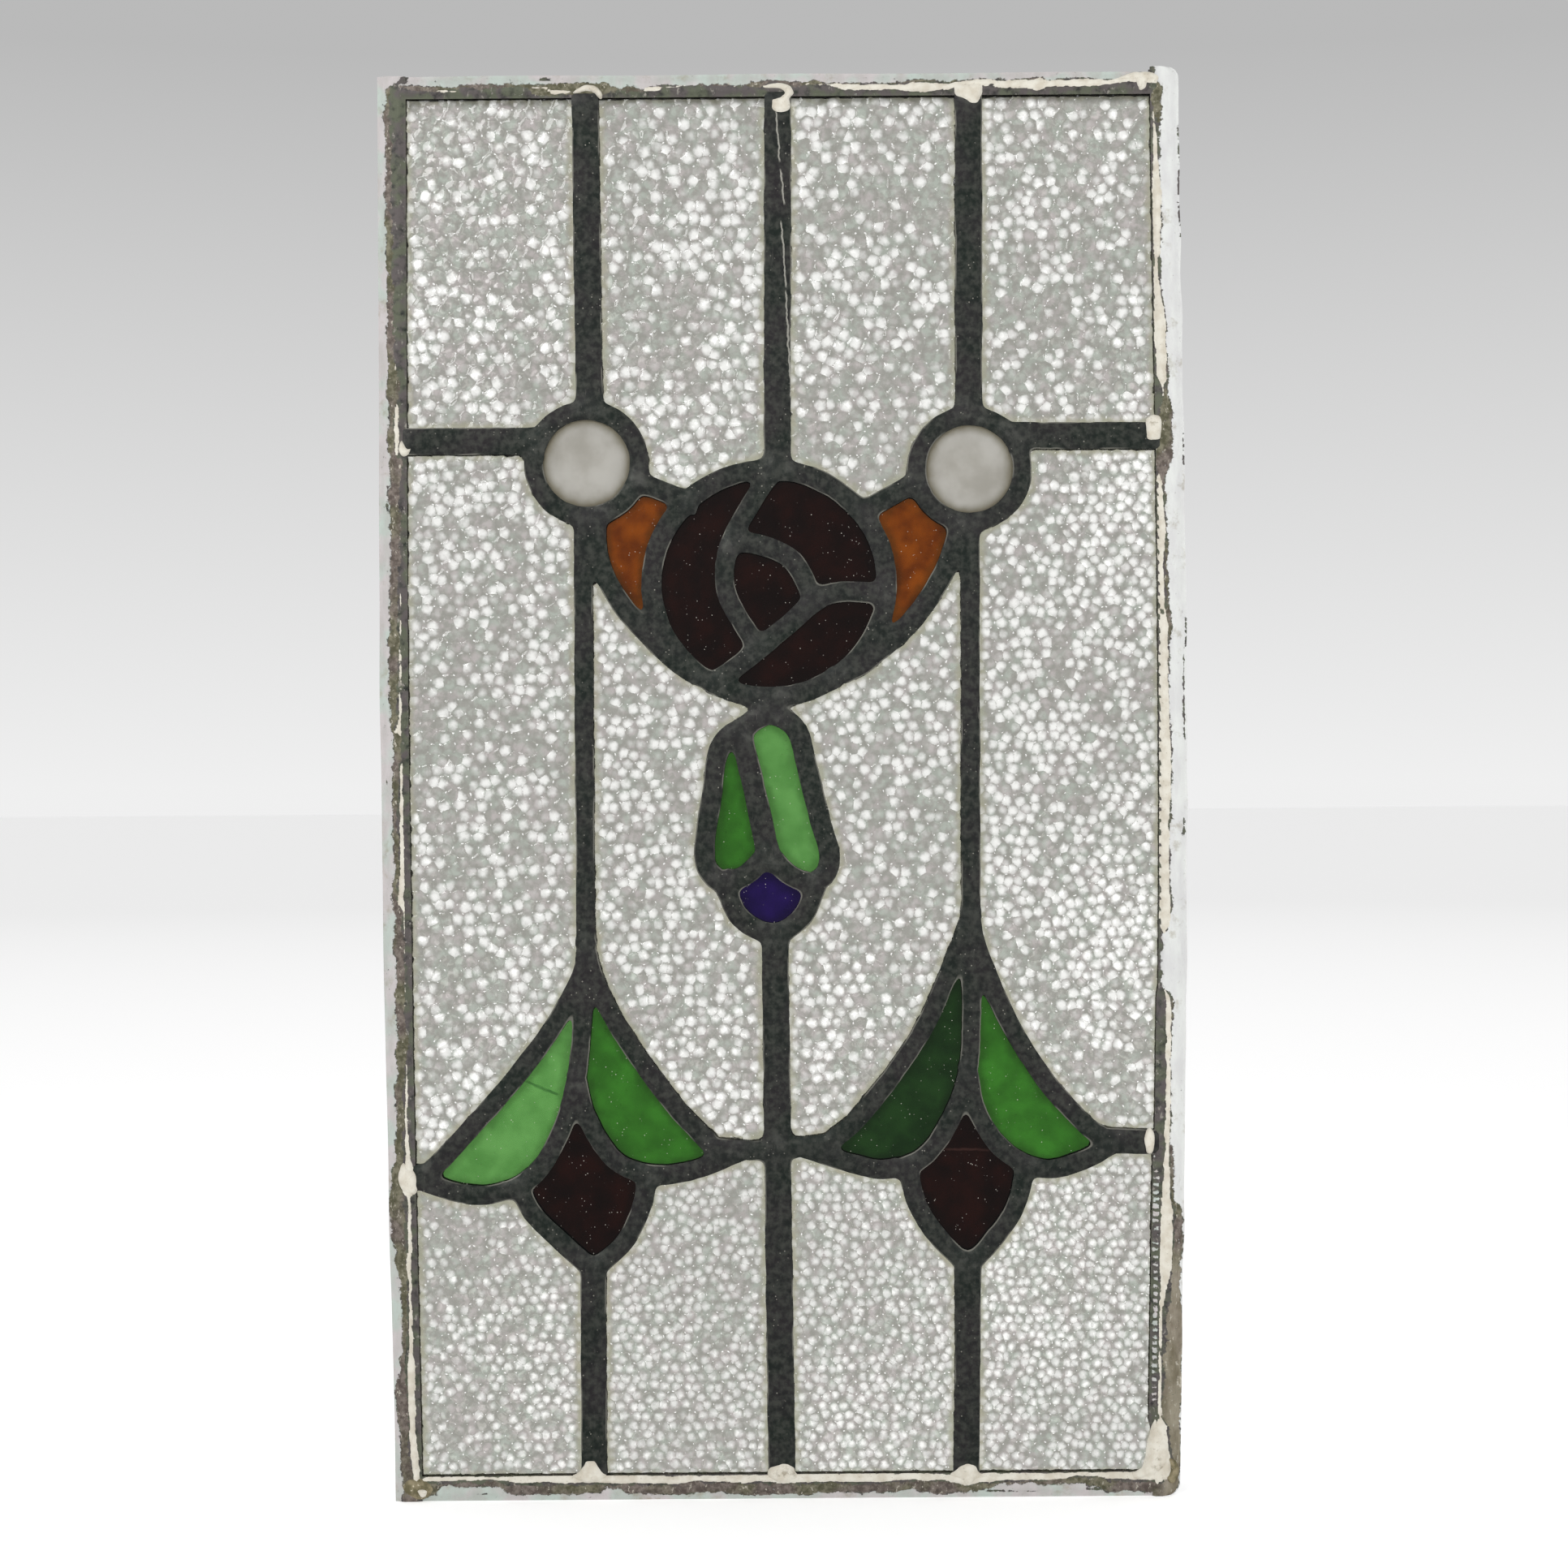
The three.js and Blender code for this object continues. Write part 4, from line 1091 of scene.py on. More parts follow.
def pebbled(loops, seed, *traits):
    """A pebbled face inside loops: its points, its triangles, its dips and its painted light.

    Each pebble is the area nearer its middle than any other's. Its edge is a groove, and rings of
    points inside the edge carry its face. The painted light of a point is three numbers: how far it
    is from its pebble's painted bright spot, how bright that spot is, and 1 where a painted pin of
    light stands.
    """
    corners = np.vstack(loops)
    pebbles = Pebbles(corners.min(0), corners.max(0), seed, *traits)
    middles = pebbles.middles
    groove, owners, pin = grooves(middles)
    everyone = np.arange(len(middles))
    points = [groove, middles]
    dips = [np.full(len(groove), PEBBLE_DEPTH), pebbles.dip(everyone, middles, 0)]
    pins = np.concatenate([pin, np.zeros(len(groove) - len(pin))])
    light = [np.stack([1 + 0 * pins, pebbles.lit[owners].mean(1), pins], 1),
             np.stack([pebbles.away(everyone, middles), pebbles.lit, 0 * pebbles.lit], 1)]
    at_meet = np.arange(len(groove)) < len(pin)
    for share, count in ((RING_SHARES[0], len(groove)), (RING_SHARES[1], len(pin))):
        for n in range(3):
            mine = np.arange(count) if n < 2 else np.nonzero(at_meet[:count])[0]
            own = owners[mine, n]
            spots = middles[own] + share * (groove[mine] - middles[own])
            points.append(spots)
            dips.append(pebbles.dip(own, spots, share))
            light.append(np.stack([pebbles.away(own, spots), pebbles.lit[own], 0.0 * own], 1))
    points, dips, light = np.vstack(points), np.concatenate(dips), np.vstack(light)
    grid = Grid(corners.min(0) - PEBBLE_ROOM, corners.max(0) + PEBBLE_ROOM, 1.5)
    inside = grid.at(pane_field(loops, grid.px, grid.pz), points) > 0.5
    rims = [finer(loop, 2.0) for loop in loops]
    rim = np.vstack(rims)
    starts = np.cumsum([0] + [len(r) for r in rims])
    outline = [list(range(*span)) for span in zip(starts.tolist(), starts.tolist()[1:])]
    points = np.vstack([rim, points[inside]])
    dips = np.concatenate([np.full(len(rim), 0.7 * PEBBLE_DEPTH), dips[inside]])
    light = np.vstack([np.tile((1.0, 0.0, 0.0), (len(rim), 1)), light[inside]])
    return points, fill(points, outline), dips, light


def rippled(loops, seed, size):
    """The uneven face of hand-rolled coloured glass: its points, faces and dips, without light."""
    corners = np.vstack(loops)
    grid = Grid(corners.min(0) - 2 * COLOUR_STEP, corners.max(0) + 2 * COLOUR_STEP, COLOUR_STEP)
    sheet = Sheet(grid, pane_field(loops, grid.px, grid.pz))
    x, z = sheet.points[:, 0], sheet.points[:, 1]
    broad = 1 + noise(x, z, size * 1.6, seed)
    fine = 1 + noise(x, z, size * 0.5, seed + 1)
    return sheet.points, sheet.faces, 0.05 * broad + 0.025 * fine, np.zeros((len(x), 3))


# Every pane: its slot and the size of its pebbles or ripples. For the pebbles of the clear glass
# also how flat they are, how far they lean, how many get a painted bright spot, and how bright it
# is.
PANES = {
    "pane_head_outer_left": ("clear_glass", 6.0, 1.0, 0.16, 0.36, 1.0),
    "pane_head_inner_left": ("clear_glass", 6.1, 1.0, 0.16, 0.40, 1.0),
    "pane_head_inner_right": ("clear_glass", 6.0, 0.9, 0.15, 0.42, 1.0),
    "pane_head_outer_right": ("clear_glass", 5.6, 0.7, 0.13, 0.44, 1.0),
    "pane_middle_outer_left": ("clear_glass", 5.8, 0.9, 0.15, 0.46, 0.95),
    "pane_middle_inner_left": ("clear_glass", 5.5, 0.7, 0.13, 0.50, 0.95),
    "pane_middle_inner_right": ("clear_glass", 5.6, 0.6, 0.12, 0.50, 0.95),
    "pane_middle_outer_right": ("clear_glass", 5.3, 0.3, 0.10, 0.55, 1.0),
    "pane_foot_outer_left": ("clear_glass", 5.0, 0.4, 0.10, 0.54, 0.75),
    "pane_foot_inner_left": ("clear_glass", 5.0, 0.4, 0.10, 0.66, 0.7),
    "pane_foot_inner_right": ("clear_glass", 4.9, 0.3, 0.10, 0.68, 0.75),
    "pane_foot_outer_right": ("clear_glass", 4.7, 0.3, 0.10, 0.62, 0.8),
    "roundel_left": ("opal_glass", 9),
    "roundel_right": ("opal_glass", 9),
    "sepal_left": ("amber_glass", 6),
    "sepal_right": ("amber_glass", 6),
    "rose_petal_left": ("garnet_glass", 7),
    "rose_petal_right": ("garnet_glass", 7),
    "rose_petal_low": ("garnet_glass", 7),
    "rose_heart": ("garnet_glass", 7),
    "bud_leaf_left": ("green_glass", 6),
    "bud_leaf_right": ("green_glass", 6),
    "bud_tip": ("violet_glass", 6),
    "tulip_left_leaf_left": ("green_glass", 6),
    "tulip_left_leaf_right": ("green_glass", 6),
    "tulip_left_heart": ("garnet_glass", 7),
    "tulip_right_leaf_left": ("deep_green_glass", 6),
    "tulip_right_leaf_right": ("green_glass", 6),
    "tulip_right_heart": ("garnet_glass", 7),
}


def glass(network):
    """Makes every pane with its front relief, and fits it over its solid."""
    made = []
    for order, (node, (slot, *traits)) in enumerate(PANES.items()):
        loops = outlines(node)
        texture = pebbled if slot == "clear_glass" else rippled
        flat, face, dip, light = texture(loops, 31 * order + 7, *traits)
        points, faces = closed_cap(flat, face, np.clip(dip, 0, 1.4) - GLASS_FACE, GLASS_FACE)
        piece = add_mesh("glass_" + node, points, faces, crease=60)
        flat = points[:, [0, 2]]
        edge = np.minimum(-network.grid.at(network.field, flat), past_border(*flat.T))
        used = sorted({n for corners in face for n in corners})
        # The painted light of a clear pane's front: how far each point is from its pebble's painted
        # bright spot, how bright that is, and where painted pins of light stand.
        away, lit, pin = np.zeros((3, len(points)))
        away[:len(used)], lit[:len(used)], pin[:len(used)] = light[used].T
        front = np.arange(len(points)) < len(used)
        add_values(piece, edge=np.where(front, np.clip(edge, 0, REACH), REACH), away=away,
                   lit=lit, pin=pin, front=front)
        made.append((piece, node, slot))
    return made


# ------------------------------------------------------------------ materials


def srgb(red, green, blue):
    """A shader colour from the 0 to 255 of a screen."""
    linear = [c / 255 / 12.92 if c < 11 else ((c / 255 + 0.055) / 1.055) ** 2.4
              for c in (red, green, blue)]
    return (*linear, 1)


def add_node(tree, kind, inputs=None, **settings):
    """A node with those settings, and with a value or a link at each of those inputs."""
    node = tree.nodes.new(kind)
    for key, value in settings.items():
        setattr(node, key, value)
    for key, value in (inputs or {}).items():
        if isinstance(value, bpy.types.NodeSocket):
            tree.links.new(value, node.inputs[key])
        else:
            node.inputs[key].default_value = value
    return node


class Look:
    """A material, put together node by node. Lengths are in millimetres."""

    def __init__(self, name):
        self.material = bpy.data.materials.new(name)
        self.material.use_nodes = True
        self.tree = self.material.node_tree
        self.tree.nodes.clear()
        self.place = self.node("ShaderNodeTexCoord").outputs["Object"]

    def node(self, kind, inputs=None, **settings):
        return add_node(self.tree, kind, inputs, **settings)

    def noise(self, size, detail=2.0, roughness=0.5, stretch=(1, 1, 1), shift=0.0):
        place = self.node("ShaderNodeMapping", {
            "Vector": self.place, "Scale": stretch, "Location": (shift, shift, shift)})
        return self.node("ShaderNodeTexNoise", {
            "Vector": place.outputs[0], "Scale": 1 / (size * MM), "Detail": detail,
            "Roughness": roughness}).outputs["Fac"]

    def specks(self, size, radius):
        """1 in small round specks about that far apart, and 0 between them."""
        cells = self.node("ShaderNodeTexVoronoi", {
            "Vector": self.place, "Scale": 1 / (size * MM)})
        return self.span(cells.outputs["Distance"], radius, radius * 0.6)

    def value(self, name):
        return self.node("ShaderNodeAttribute", attribute_name=name).outputs["Fac"]

    def calc(self, operation, a, b=0.0):
        return self.node("ShaderNodeMath", {0: a, 1: b}, operation=operation).outputs[0]

    def times(self, a, b):
        return self.calc("MULTIPLY", a, b)

    def flip(self, value):
        """0 where the value is 1, and 1 where it is 0."""
        return self.calc("SUBTRACT", 1, value)

    def swing(self, value, amount):
        """A value from 0 to 1 as a change either way, by half that amount."""
        return self.times(self.calc("SUBTRACT", value, 0.5), amount)

    def span(self, value, low, high):
        """0 at low and 1 at high, with a smooth rise between them."""
        return self.node("ShaderNodeMapRange", {
            "Value": value, "From Min": low, "From Max": high},
            interpolation_type="SMOOTHSTEP").outputs[0]

    def patches(self, low, high, *how, **more):
        """Noise of that kind, as 0 where it is under low and 1 where it is over high."""
        return self.span(self.noise(*how, **more), low, high)

    def blend(self, share, a, b):
        return self.node("ShaderNodeMix", {0: share, 6: a, 7: b}, data_type="RGBA").outputs[2]

    def across_and_up(self):
        x, _, z = self.node("ShaderNodeSeparateXYZ", {0: self.place}).outputs
        return x, z

    def line(self, start, end, half):
        """1 along a straight line on the panel's face, a little unsteady, and 0 off it."""
        x, z = self.across_and_up()
        start, end = np.array(start) * MM, np.array(end) * MM
        way = (end - start) / np.hypot(*(end - start))
        x, z = self.calc("SUBTRACT", x, start[0]), self.calc("SUBTRACT", z, start[1])
        on = self.calc("ADD", self.times(x, way[0]), self.times(z, way[1]))
        off = self.calc("SUBTRACT", self.times(z, way[0]), self.times(x, way[1]))
        shake = self.swing(self.noise(4, 3), 2 * MM)
        near = self.span(self.calc("ABSOLUTE", self.calc("ADD", off, shake)), half * MM,
                         0.4 * half * MM)
        left = self.calc("SUBTRACT", float(np.hypot(*(end - start)) + MM), on)
        ends = self.span(self.calc("MINIMUM", self.calc("ADD", on, MM), left), 0.0, 2 * MM)
        return self.times(near, ends)

    def over(self, colour, mask, strength, tint):
        """The colour, tinted at that strength where the mask is 1."""
        return self.blend(self.times(mask, strength), colour, tint)

    def bump(self, height, depth, under=None):
        inputs = {"Height": height, "Distance": depth * MM}
        if under:
            inputs["Normal"] = under
        return self.node("ShaderNodeBump", inputs).outputs[0]

    def surface(self, colour, rough, more):
        """The shader of a surface, with more of its values by the names of their sockets."""
        return self.node("ShaderNodeBsdfPrincipled", {
            "Base Color": colour, "Roughness": rough, **more}).outputs[0]

    def mix(self, share, a, b):
        return self.node("ShaderNodeMixShader", {0: share, 1: a, 2: b}).outputs[0]

    def finish(self, shader):
        self.node("ShaderNodeOutputMaterial", {"Surface": shader})
        return self.material


def lead_colour(look):
    """Oxidised lead: charcoal with faint warm and violet casts, and fine pale specks."""
    broad = look.patches(0.35, 0.65, 22, 3)
    fine = look.patches(0.35, 0.7, 3.2, 4, 0.6)
    colour = look.blend(broad, srgb(33, 42, 37), srgb(49, 46, 48))
    colour = look.over(colour, fine, 0.7, srgb(80, 82, 76))
    patches = look.patches(0.5, 0.62, 9, 2, shift=3)
    specks = look.times(look.specks(2.2, 0.17), patches)
    return look.over(colour, specks, 0.8, srgb(165, 162, 152))


# Bright scratches down the straight came of the head.
HEAD_SCRATCHES = [((-0.8, 618), (0.6, 596)), ((1, 592), (2.6, 577)), ((1.2, 569), (3, 540)),
                  ((3, 538), (4.8, 491))]


def came_look():
    look = Look("old_lead")
    solder = look.value("solder")
    colour = lead_colour(look)
    colour = look.over(colour, solder, 0.2, srgb(66, 68, 66))
    # Paler in stretches along the edges of the leads.
    stretches = look.patches(0.5, 0.58, 26, 2, shift=11)
    near_edge = look.flip(look.span(look.value("rise"), 0.25, 0.7))
    pale_edge = look.times(near_edge, stretches)
    colour = look.over(colour, pale_edge, 0.55, srgb(150, 148, 138))
    scratches = look.patches(0.66, 0.74, 1.2, 3, 0.7, stretch=(1, 1, 0.12), shift=9)
    colour = look.over(colour, scratches, 0.35, srgb(120, 118, 112))
    blotches = look.times(solder, look.patches(0.5, 0.68, 6, 4, 0.6, shift=15))
    colour = look.over(colour, blotches, 0.2, srgb(128, 128, 122))
    for start, end in HEAD_SCRATCHES:
        scratch = look.line(start, end, 0.5)
        colour = look.over(colour, scratch, 0.7, srgb(190, 188, 178))
    rough = look.calc("SUBTRACT", 0.62, look.times(solder, 0.14))
    rough = look.calc("ADD", rough, look.times(look.noise(5, 3), 0.12))
    normal = look.bump(look.noise(1.6, 4, 0.6), 0.12)
    normal = look.bump(look.noise(0.5, 2), 0.03, under=normal)
    return look.finish(look.surface(colour, rough, {
        "Metallic": 0.55, "Normal": normal, "Specular IOR Level": 0.4}))


def putty_colour(look):
    """Cream putty, greyer in patches, with fine dirty cracks."""
    patches = look.patches(0.35, 0.7, 5, 4)
    colour = look.blend(patches, srgb(210, 206, 194), srgb(192, 185, 170))
    cracks = look.patches(0.6, 0.7, 1.3, 4, 0.7, shift=5)
    return look.over(colour, cracks, 0.5, srgb(128, 118, 100))


def putty_look():
    look = Look("old_putty")
    colour = putty_colour(look)
    stains = look.patches(0.56, 0.68, 7, 4, 0.6, shift=8)
    colour = look.over(colour, stains, 0.6, srgb(112, 100, 76))
    normal = look.bump(look.noise(1.2, 4, 0.65), 0.2)
    return look.finish(look.surface(colour, 0.8, {
        "Normal": normal, "Specular IOR Level": 0.3}))


def stained_look():
    """Putty gone olive and brown."""
    look = Look("stained_putty")
    patches = look.patches(0.36, 0.66, 3.4, 4, 0.6)
    colour = look.blend(patches, srgb(96, 90, 66), srgb(140, 130, 104))
    specks = look.patches(0.62, 0.7, 2, 4, 0.7, shift=3)
    colour = look.blend(specks, colour, srgb(190, 182, 160))
    normal = look.bump(look.noise(1.2, 4, 0.65), 0.25)
    return look.finish(look.surface(colour, 0.85, {
        "Normal": normal, "Specular IOR Level": 0.3}))


def border_look():
    """Lead with a skin of pale paint outside, weathered metal, and a ridge of cream putty."""
    look = Look("painted_lead")
    fine = look.calc("SUBTRACT", look.noise(1.8, 5, 0.7, shift=2), 0.5)

    def coat(name, raggedness):
        amount = look.calc("ADD", look.value(name), look.times(fine, raggedness))
        return look.span(amount, 0.36, 0.62)

    streaks = look.patches(0.3, 0.7, 6, 4, 0.6, stretch=(1, 1, 0.35), shift=4)
    cast = look.patches(0.4, 0.6, 14, 2, shift=17)
    dull = look.blend(cast, srgb(186, 180, 180), srgb(174, 184, 177))
    dull = look.over(dull, streaks, 0.6, srgb(162, 160, 156))
    # The right came's paint is whiter than the others': its own whiter paint, with painted light
    # falling from the right on it.
    white = look.over(srgb(208, 210, 207), streaks, 0.7, srgb(192, 191, 192))
    across, up = look.across_and_up()
    right = look.span(across, 164 * MM, 170 * MM)
    paint = look.blend(right, dull, white)
    # Brown grime on the paint, in patches.
    darkening = look.patches(0.55, 0.71, 9, 5, 0.65, shift=7)
    brown = look.blend(look.noise(2.5, 2), srgb(120, 112, 92), srgb(160, 152, 132))
    paint = look.over(paint, darkening, 0.55, brown)
    mottle = look.patches(0.35, 0.68, 2.6, 4, 0.65)
    olive = look.blend(mottle, srgb(88, 86, 66), srgb(134, 130, 110))
    brown_purple = look.blend(mottle, srgb(94, 84, 78), srgb(138, 128, 120))
    kinds = look.patches(0.42, 0.58, 20, 2, shift=21)
    stained = look.blend(kinds, olive, brown_purple)
    low_right = look.times(right, look.span(up, 120 * MM, 90 * MM))
    beige = look.blend(streaks, srgb(180, 172, 154), srgb(130, 120, 100))
    stained = look.over(stained, low_right, 0.75, beige)
    flecks = look.patches(0.6, 0.68, 1.7, 3, 0.7, stretch=(1, 1, 0.5), shift=13)
    stained = look.over(stained, flecks, 0.8, srgb(206, 200, 186))
    casts = look.patches(0.42, 0.58, 9, 2, shift=31)
    weathered = look.blend(casts, srgb(100, 94, 93), srgb(100, 104, 88))
    bloom = look.patches(0.26, 0.54, 4, 4, 0.6, shift=23)
    bare = look.blend(bloom, lead_colour(look), weathered)
    pale = look.patches(0.6, 0.7, 2.6, 4, 0.65, stretch=(1, 1, 0.6), shift=29)
    bare = look.blend(pale, bare, srgb(152, 148, 140))
    colour = look.blend(coat("worn", 3.0), bare, stained)
    paint_here = coat("paint", 2.6)
    colour = look.blend(paint_here, colour, paint)
    putty_here = coat("putty", 1.8)
    colour = look.blend(putty_here, colour, putty_colour(look))
    covered = look.calc("MAXIMUM", paint_here, putty_here)
    rough = look.calc("ADD", 0.58, look.times(covered, 0.22))
    metal = look.times(look.flip(covered), 0.4)
    normal = look.bump(look.noise(1.5, 4, 0.65), 0.2)
    normal = look.bump(covered, 0.15, under=normal)
    return look.finish(look.surface(colour, rough, {
        "Metallic": metal, "Normal": normal, "Specular IOR Level": 0.35}))


def see_through(look, shader, shadow):
    """Lets lamp light pass the glass in that colour, as clear glass does."""
    path = look.node("ShaderNodeLightPath").outputs["Is Shadow Ray"]
    clear = look.node("ShaderNodeBsdfTransparent", {"Color": shadow}).outputs[0]
    return look.mix(path, shader, clear)


def clear_look():
    """Clear rolled glass, with the light and shade seen through it painted on its front. Each
    pebble is given a flat painted tone, painted shade in its groove and a painted bright spot for
    the light it gathers, and painted pins of light stand where grooves meet.

    It is brownish, darker and a little duller within a few millimetres of the leads, and nearly
    black just below the head came.
    """
    look = Look("clear_pebbled_glass")
    # Painted highlights: a bright spot in each pebble, and pins of light where grooves meet.
    ragged = look.swing(look.noise(2.2, 2), 0.9)
    away = look.calc("ADD", look.value("away"), ragged)
    lit = look.value("lit")
    reach = look.calc("ADD", 0.40, look.times(lit, 0.5))
    spot = look.flip(look.span(look.calc("SUBTRACT", away, reach), -0.62, 0.26))
    pin = look.span(look.value("pin"), 0.25, 0.6)
    bright = look.calc("MAXIMUM", look.times(look.times(lit, 0.95), spot), pin)
    # Painted shade: the tone of the rest of each pebble, with faint casts and darker patches, and
    # darker still in its groove.
    cast = look.patches(0.38, 0.62, 9, 2, shift=4)
    grey = look.blend(cast, srgb(140, 131, 127), srgb(126, 135, 121))
    uneven_grey = look.patches(0.35, 0.65, 3.4, 2, shift=6)
    grey = look.blend(uneven_grey, grey, srgb(104, 103, 94))
    groove = look.span(look.value("away"), 0.7, 1.0)
    grey = look.over(grey, groove, 0.4, srgb(86, 86, 77))
    front = look.blend(bright, grey, srgb(247, 247, 240))
    colour = look.blend(look.value("front"), srgb(252, 252, 253), front)
    # Darker, browner and a little rougher within a few millimetres of the leads.
    uneven = look.swing(look.noise(5, 3), 4.0)
    edge = look.calc("ADD", look.value("edge"), uneven)
    near_leads = look.flip(look.span(edge, 0.4, 3.7))
    near_leads_tint = look.blend(look.noise(16, 2), srgb(118, 108, 78), srgb(92, 100, 74))
    colour = look.over(colour, near_leads, 0.75, near_leads_tint)
    # Nearly black on the glass for the 4 mm below the head came.
    under_head = look.calc("ADD", look.across_and_up()[1], look.swing(look.noise(6, 3), 5 * MM))
    darkening = look.times(look.span(under_head, 620 * MM, 624 * MM), look.value("front"))
    colour = look.over(colour, darkening, 0.85, srgb(18, 18, 10))
    rough = look.calc("ADD", 0.03, look.times(near_leads, 0.22))
    normal = look.bump(look.noise(1.4, 2), 0.02)
    body = look.surface(colour, rough, {
        "Normal": normal, "Transmission Weight": 1.0, "IOR": 1.5})
    return look.finish(see_through(look, body, (0.85, 0.86, 0.84, 1)))


# The coloured glasses: their lighter and darker patches, and their edges by the leads.
GLASS_COLOURS = {
    "amber_glass": ((132, 66, 10), (88, 38, 5), (46, 32, 10)),
    "garnet_glass": ((30, 10, 7), (15, 6, 5), (9, 6, 5)),
    "green_glass": ((54, 114, 36), (43, 92, 28), (28, 52, 18)),
    "light_green_glass": ((96, 152, 79), (78, 132, 63), (48, 84, 36)),
    "deep_green_glass": ((30, 58, 25), (20, 41, 18), (14, 28, 12)),
    "violet_glass": ((32, 16, 76), (21, 9, 56), (14, 7, 34)),
}
# A line in the right tulip's heart and a crack in the left tulip's left leaf: ends and colour.
CRACKS = {
    "garnet_glass": ((67, 155), (91, 154.5), (54, 34, 30)),
    "light_green_glass": ((-116, 186.5), (-101.5, 180.5), (46, 92, 40)),
}


def coloured_look(name):
    """Coloured glass: mottled, darker by the leads, with white dust specks on its face."""
    look = Look(name)
    light, dark, edge_colour = (srgb(*colour) for colour in GLASS_COLOURS[name])
    mottle = look.patches(0.32, 0.68, 11, 3)
    colour = look.blend(mottle, light, dark)
    if name in CRACKS:
        start, end, tint = CRACKS[name]
        colour = look.over(colour, look.line(start, end, 0.7), 0.8, srgb(*tint))
    uneven = look.swing(look.noise(6, 3, shift=3), 5.0)
    edge = look.calc("ADD", look.value("edge"), uneven)
    shade = look.flip(look.span(edge, 0.2, 4.2))
    colour = look.over(colour, shade, 0.8, edge_colour)
    normal = look.bump(look.noise(2.4, 3), 0.08)
    body = look.surface(colour, 0.2, {
        "Normal": normal, "Transmission Weight": 1.0, "IOR": 1.5, "Specular IOR Level": 0.3})
    body = see_through(look, body, light)
    patches = look.patches(0.48, 0.62, 7, 3, shift=6)
    dusty = look.times(look.specks(1.9, 0.15), patches)
    powder = look.surface(srgb(205, 200, 190), 0.9, {})
    return look.finish(look.mix(look.times(dusty, 0.5), body, powder))


def opal_look():
    """Milky glass: light spreads in it, so it is pale both with light on it and behind it."""
    look = Look("opal_glass")
    cloud = look.patches(0.3, 0.7, 14, 3)
    colour = look.blend(cloud, srgb(200, 198, 192), srgb(178, 175, 167))
    edge = look.calc("ADD", look.value("edge"), look.times(look.noise(6, 3), 2.0))
    shade = look.flip(look.span(edge, 0.6, 5.4))
    colour = look.over(colour, shade, 0.8, srgb(120, 112, 84))
    normal = look.bump(look.noise(3, 2), 0.08)
    face = look.surface(colour, 0.28, {
        "Normal": normal, "IOR": 1.5, "Specular IOR Level": 0.5})
    through = look.node("ShaderNodeBsdfTranslucent", {"Color": colour}).outputs[0]
    return look.finish(look.mix(0.5, face, through))


LOOKS = {
    "clear_glass": clear_look(),
    "opal_glass": opal_look(),
    **{name: coloured_look(name) for name in GLASS_COLOURS},
}
LIGHT_GREEN = ("tulip_left_leaf_left", "bud_leaf_right")
OLD_LEAD = came_look()
PAINTED_LEAD = border_look()
PUTTIES = {"cream": putty_look(), "stained": stained_look()}

# ------------------------------------------------------------------ the pieces in their places


def fit(piece, material, node=None):
    """Puts a piece on the panel, in place of the CAD node that it stands for, if any."""
    piece.data.materials.append(material)
    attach(piece, "root")
    if node:
        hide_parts(node)


network = Network(FRONT_STEP)
for piece, node in cames(network, Network(BACK_STEP)):
    fit(piece, OLD_LEAD, node)
for piece, node in border():
    fit(piece, PAINTED_LEAD, node)
for piece, node, slot in glass(network):
    look = "light_green_glass" if node in LIGHT_GREEN else slot
    fit(piece, LOOKS[look], node)
for piece, kind in lumps():
    fit(piece, PUTTIES[kind])

# ------------------------------------------------------------------ floor, light and camera

FLOOR_SIZE = 60.0


def floor():
    half = FLOOR_SIZE / 2
    mesh = bpy.data.meshes.new("floor")
    mesh.from_pydata([(-half, -half, 0), (half, -half, 0), (half, half, 0), (-half, half, 0)],
                     [], [(0, 1, 2, 3)])
    plane = bpy.data.objects.new("floor", mesh)
    bpy.context.scene.collection.objects.link(plane)
    look = Look("pale_floor")
    reach = look.node("ShaderNodeVectorMath", {0: look.place}, operation="LENGTH").outputs["Value"]
    glow = look.node("ShaderNodeMapRange", {
        "Value": reach, "From Min": 0.8, "From Max": 6.0, "To Min": 0.3, "To Max": 0.14}).outputs[0]
    mesh.materials.append(look.finish(look.node("ShaderNodeBsdfPrincipled", {
        "Base Color": (0.9, 0.9, 0.9, 1), "Roughness": 0.8, "Specular IOR Level": 0.1,
        "Emission Color": (1, 1, 1, 1), "Emission Strength": glow}).outputs[0]))
    plane.visible_transmission = False
    plane.visible_glossy = False


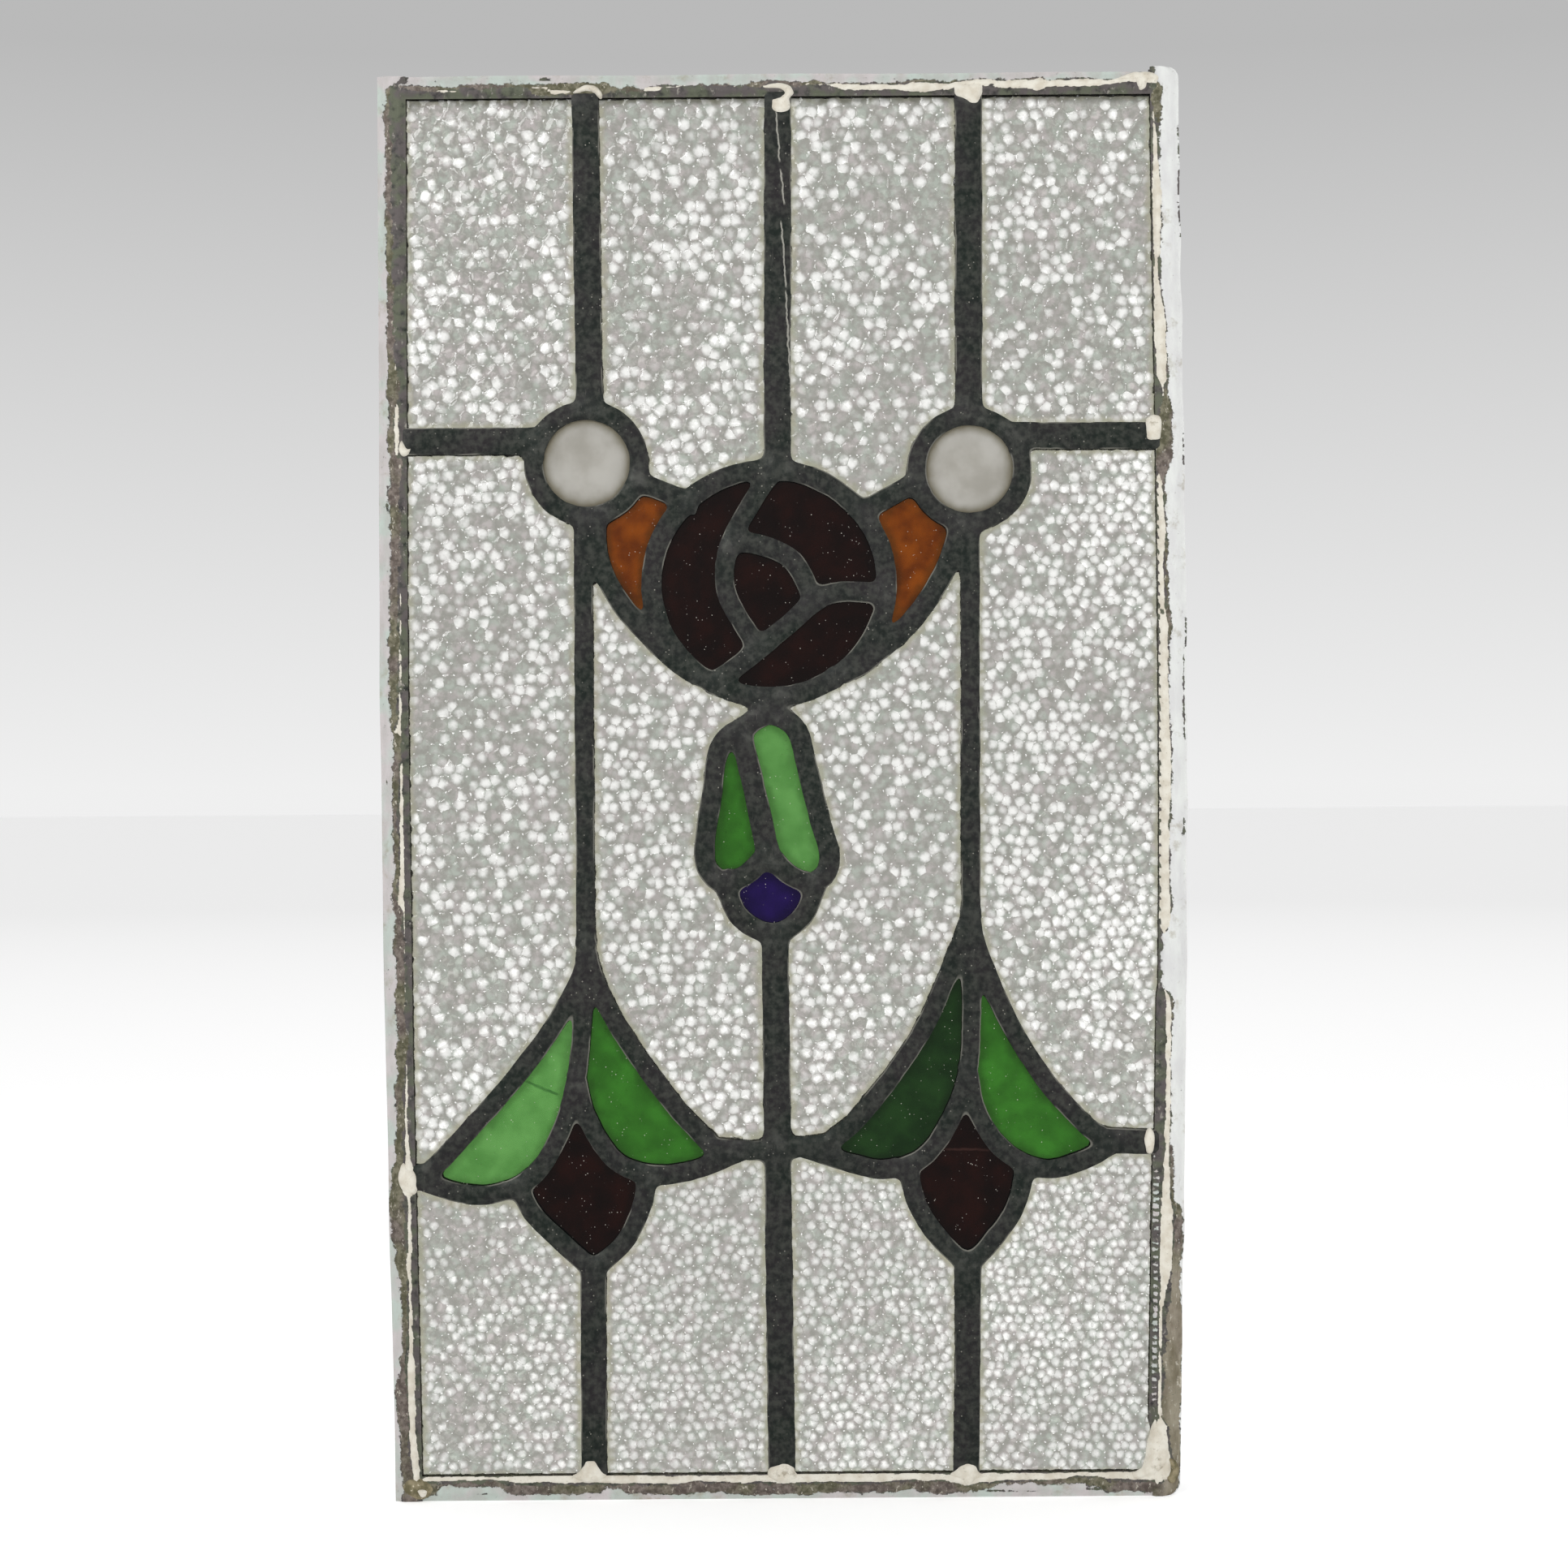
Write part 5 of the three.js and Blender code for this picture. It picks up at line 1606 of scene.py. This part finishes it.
def studio():
    """A white studio that greys towards the ceiling. Through the glass it shows soft lamps."""
    world = bpy.data.worlds.new("studio")
    bpy.context.scene.world = world
    world.use_nodes = True
    tree = world.node_tree
    tree.nodes.clear()

    def node(kind, inputs=None, **settings):
        return add_node(tree, kind, inputs, **settings)

    way = node("ShaderNodeTexCoord").outputs["Generated"]
    up = node("ShaderNodeSeparateXYZ", {0: way}).outputs["Z"]
    seen = node("ShaderNodeMapRange", {
        "Value": up, "From Min": 0.0, "From Max": 0.26, "To Min": 0.868, "To Max": 0.49}).outputs[0]
    lamps = node("ShaderNodeTexVoronoi", {"Vector": way, "Scale": 12.0}).outputs["Distance"]
    lamp = node("ShaderNodeMapRange", {
        "Value": lamps, "From Min": 0.26, "From Max": 0.42, "To Min": 1.3, "To Max": 1.02},
        interpolation_type="SMOOTHSTEP").outputs[0]
    path = node("ShaderNodeLightPath")
    room = node("ShaderNodeMix", {
        0: path.outputs["Is Glossy Ray"], 2: 0.8, 3: 0.16}).outputs[0]
    passing = node("ShaderNodeMix", {
        0: path.outputs["Is Transmission Ray"], 2: room, 3: lamp}).outputs[0]
    level = node("ShaderNodeMix", {
        0: path.outputs["Is Camera Ray"], 2: passing, 3: seen}).outputs[0]
    back = node("ShaderNodeBackground", {"Color": level, "Strength": 1.0})
    node("ShaderNodeOutputWorld", {"Surface": back.outputs[0]})


def softbox(name, place, aim, size, power):
    lamp = bpy.data.lights.new(name, "AREA")
    lamp.shape = "DISK"
    lamp.size = size
    lamp.energy = power
    holder = bpy.data.objects.new(name, lamp)
    holder.location = place
    way = Vector(aim) - Vector(place)
    holder.rotation_euler = way.to_track_quat("-Z", "Y").to_euler()
    bpy.context.scene.collection.objects.link(holder)


CAMERA_REACH = 1.2
FRAME_WIDTH = 0.6984
SENSOR = 36.0
CAMERA_LEAN = 0.0075


def camera():
    """Square on to the panel, with the slight lean that the view has."""
    lens = bpy.data.cameras.new("camera")
    lens.sensor_width = SENSOR
    lens.lens = SENSOR * CAMERA_REACH / FRAME_WIDTH
    holder = bpy.data.objects.new("camera", lens)
    bpy.context.scene.collection.objects.link(holder)
    sin, cos = math.sin(CAMERA_LEAN), math.cos(CAMERA_LEAN)
    low, high = cad_box
    middle = ((low[0] + high[0]) / 2, low[1] - CAMERA_REACH, (low[2] + high[2]) / 2)
    holder.matrix_world = Matrix((
        (cos, sin, 0, middle[0]),
        (0, 0, -1, middle[1]),
        (-sin, cos, 0, middle[2]),
        (0, 0, 0, 1),
    ))
    bpy.context.scene.camera = holder


floor()
studio()
softbox("key", (-0.9, -1.7, 1.3), (0, 0, 0.32), 0.9, 14)
softbox("fill", (1.3, -1.5, 0.7), (0, 0, 0.32), 0.7, 6)
camera()
bpy.context.scene.view_settings.view_transform = "Standard"
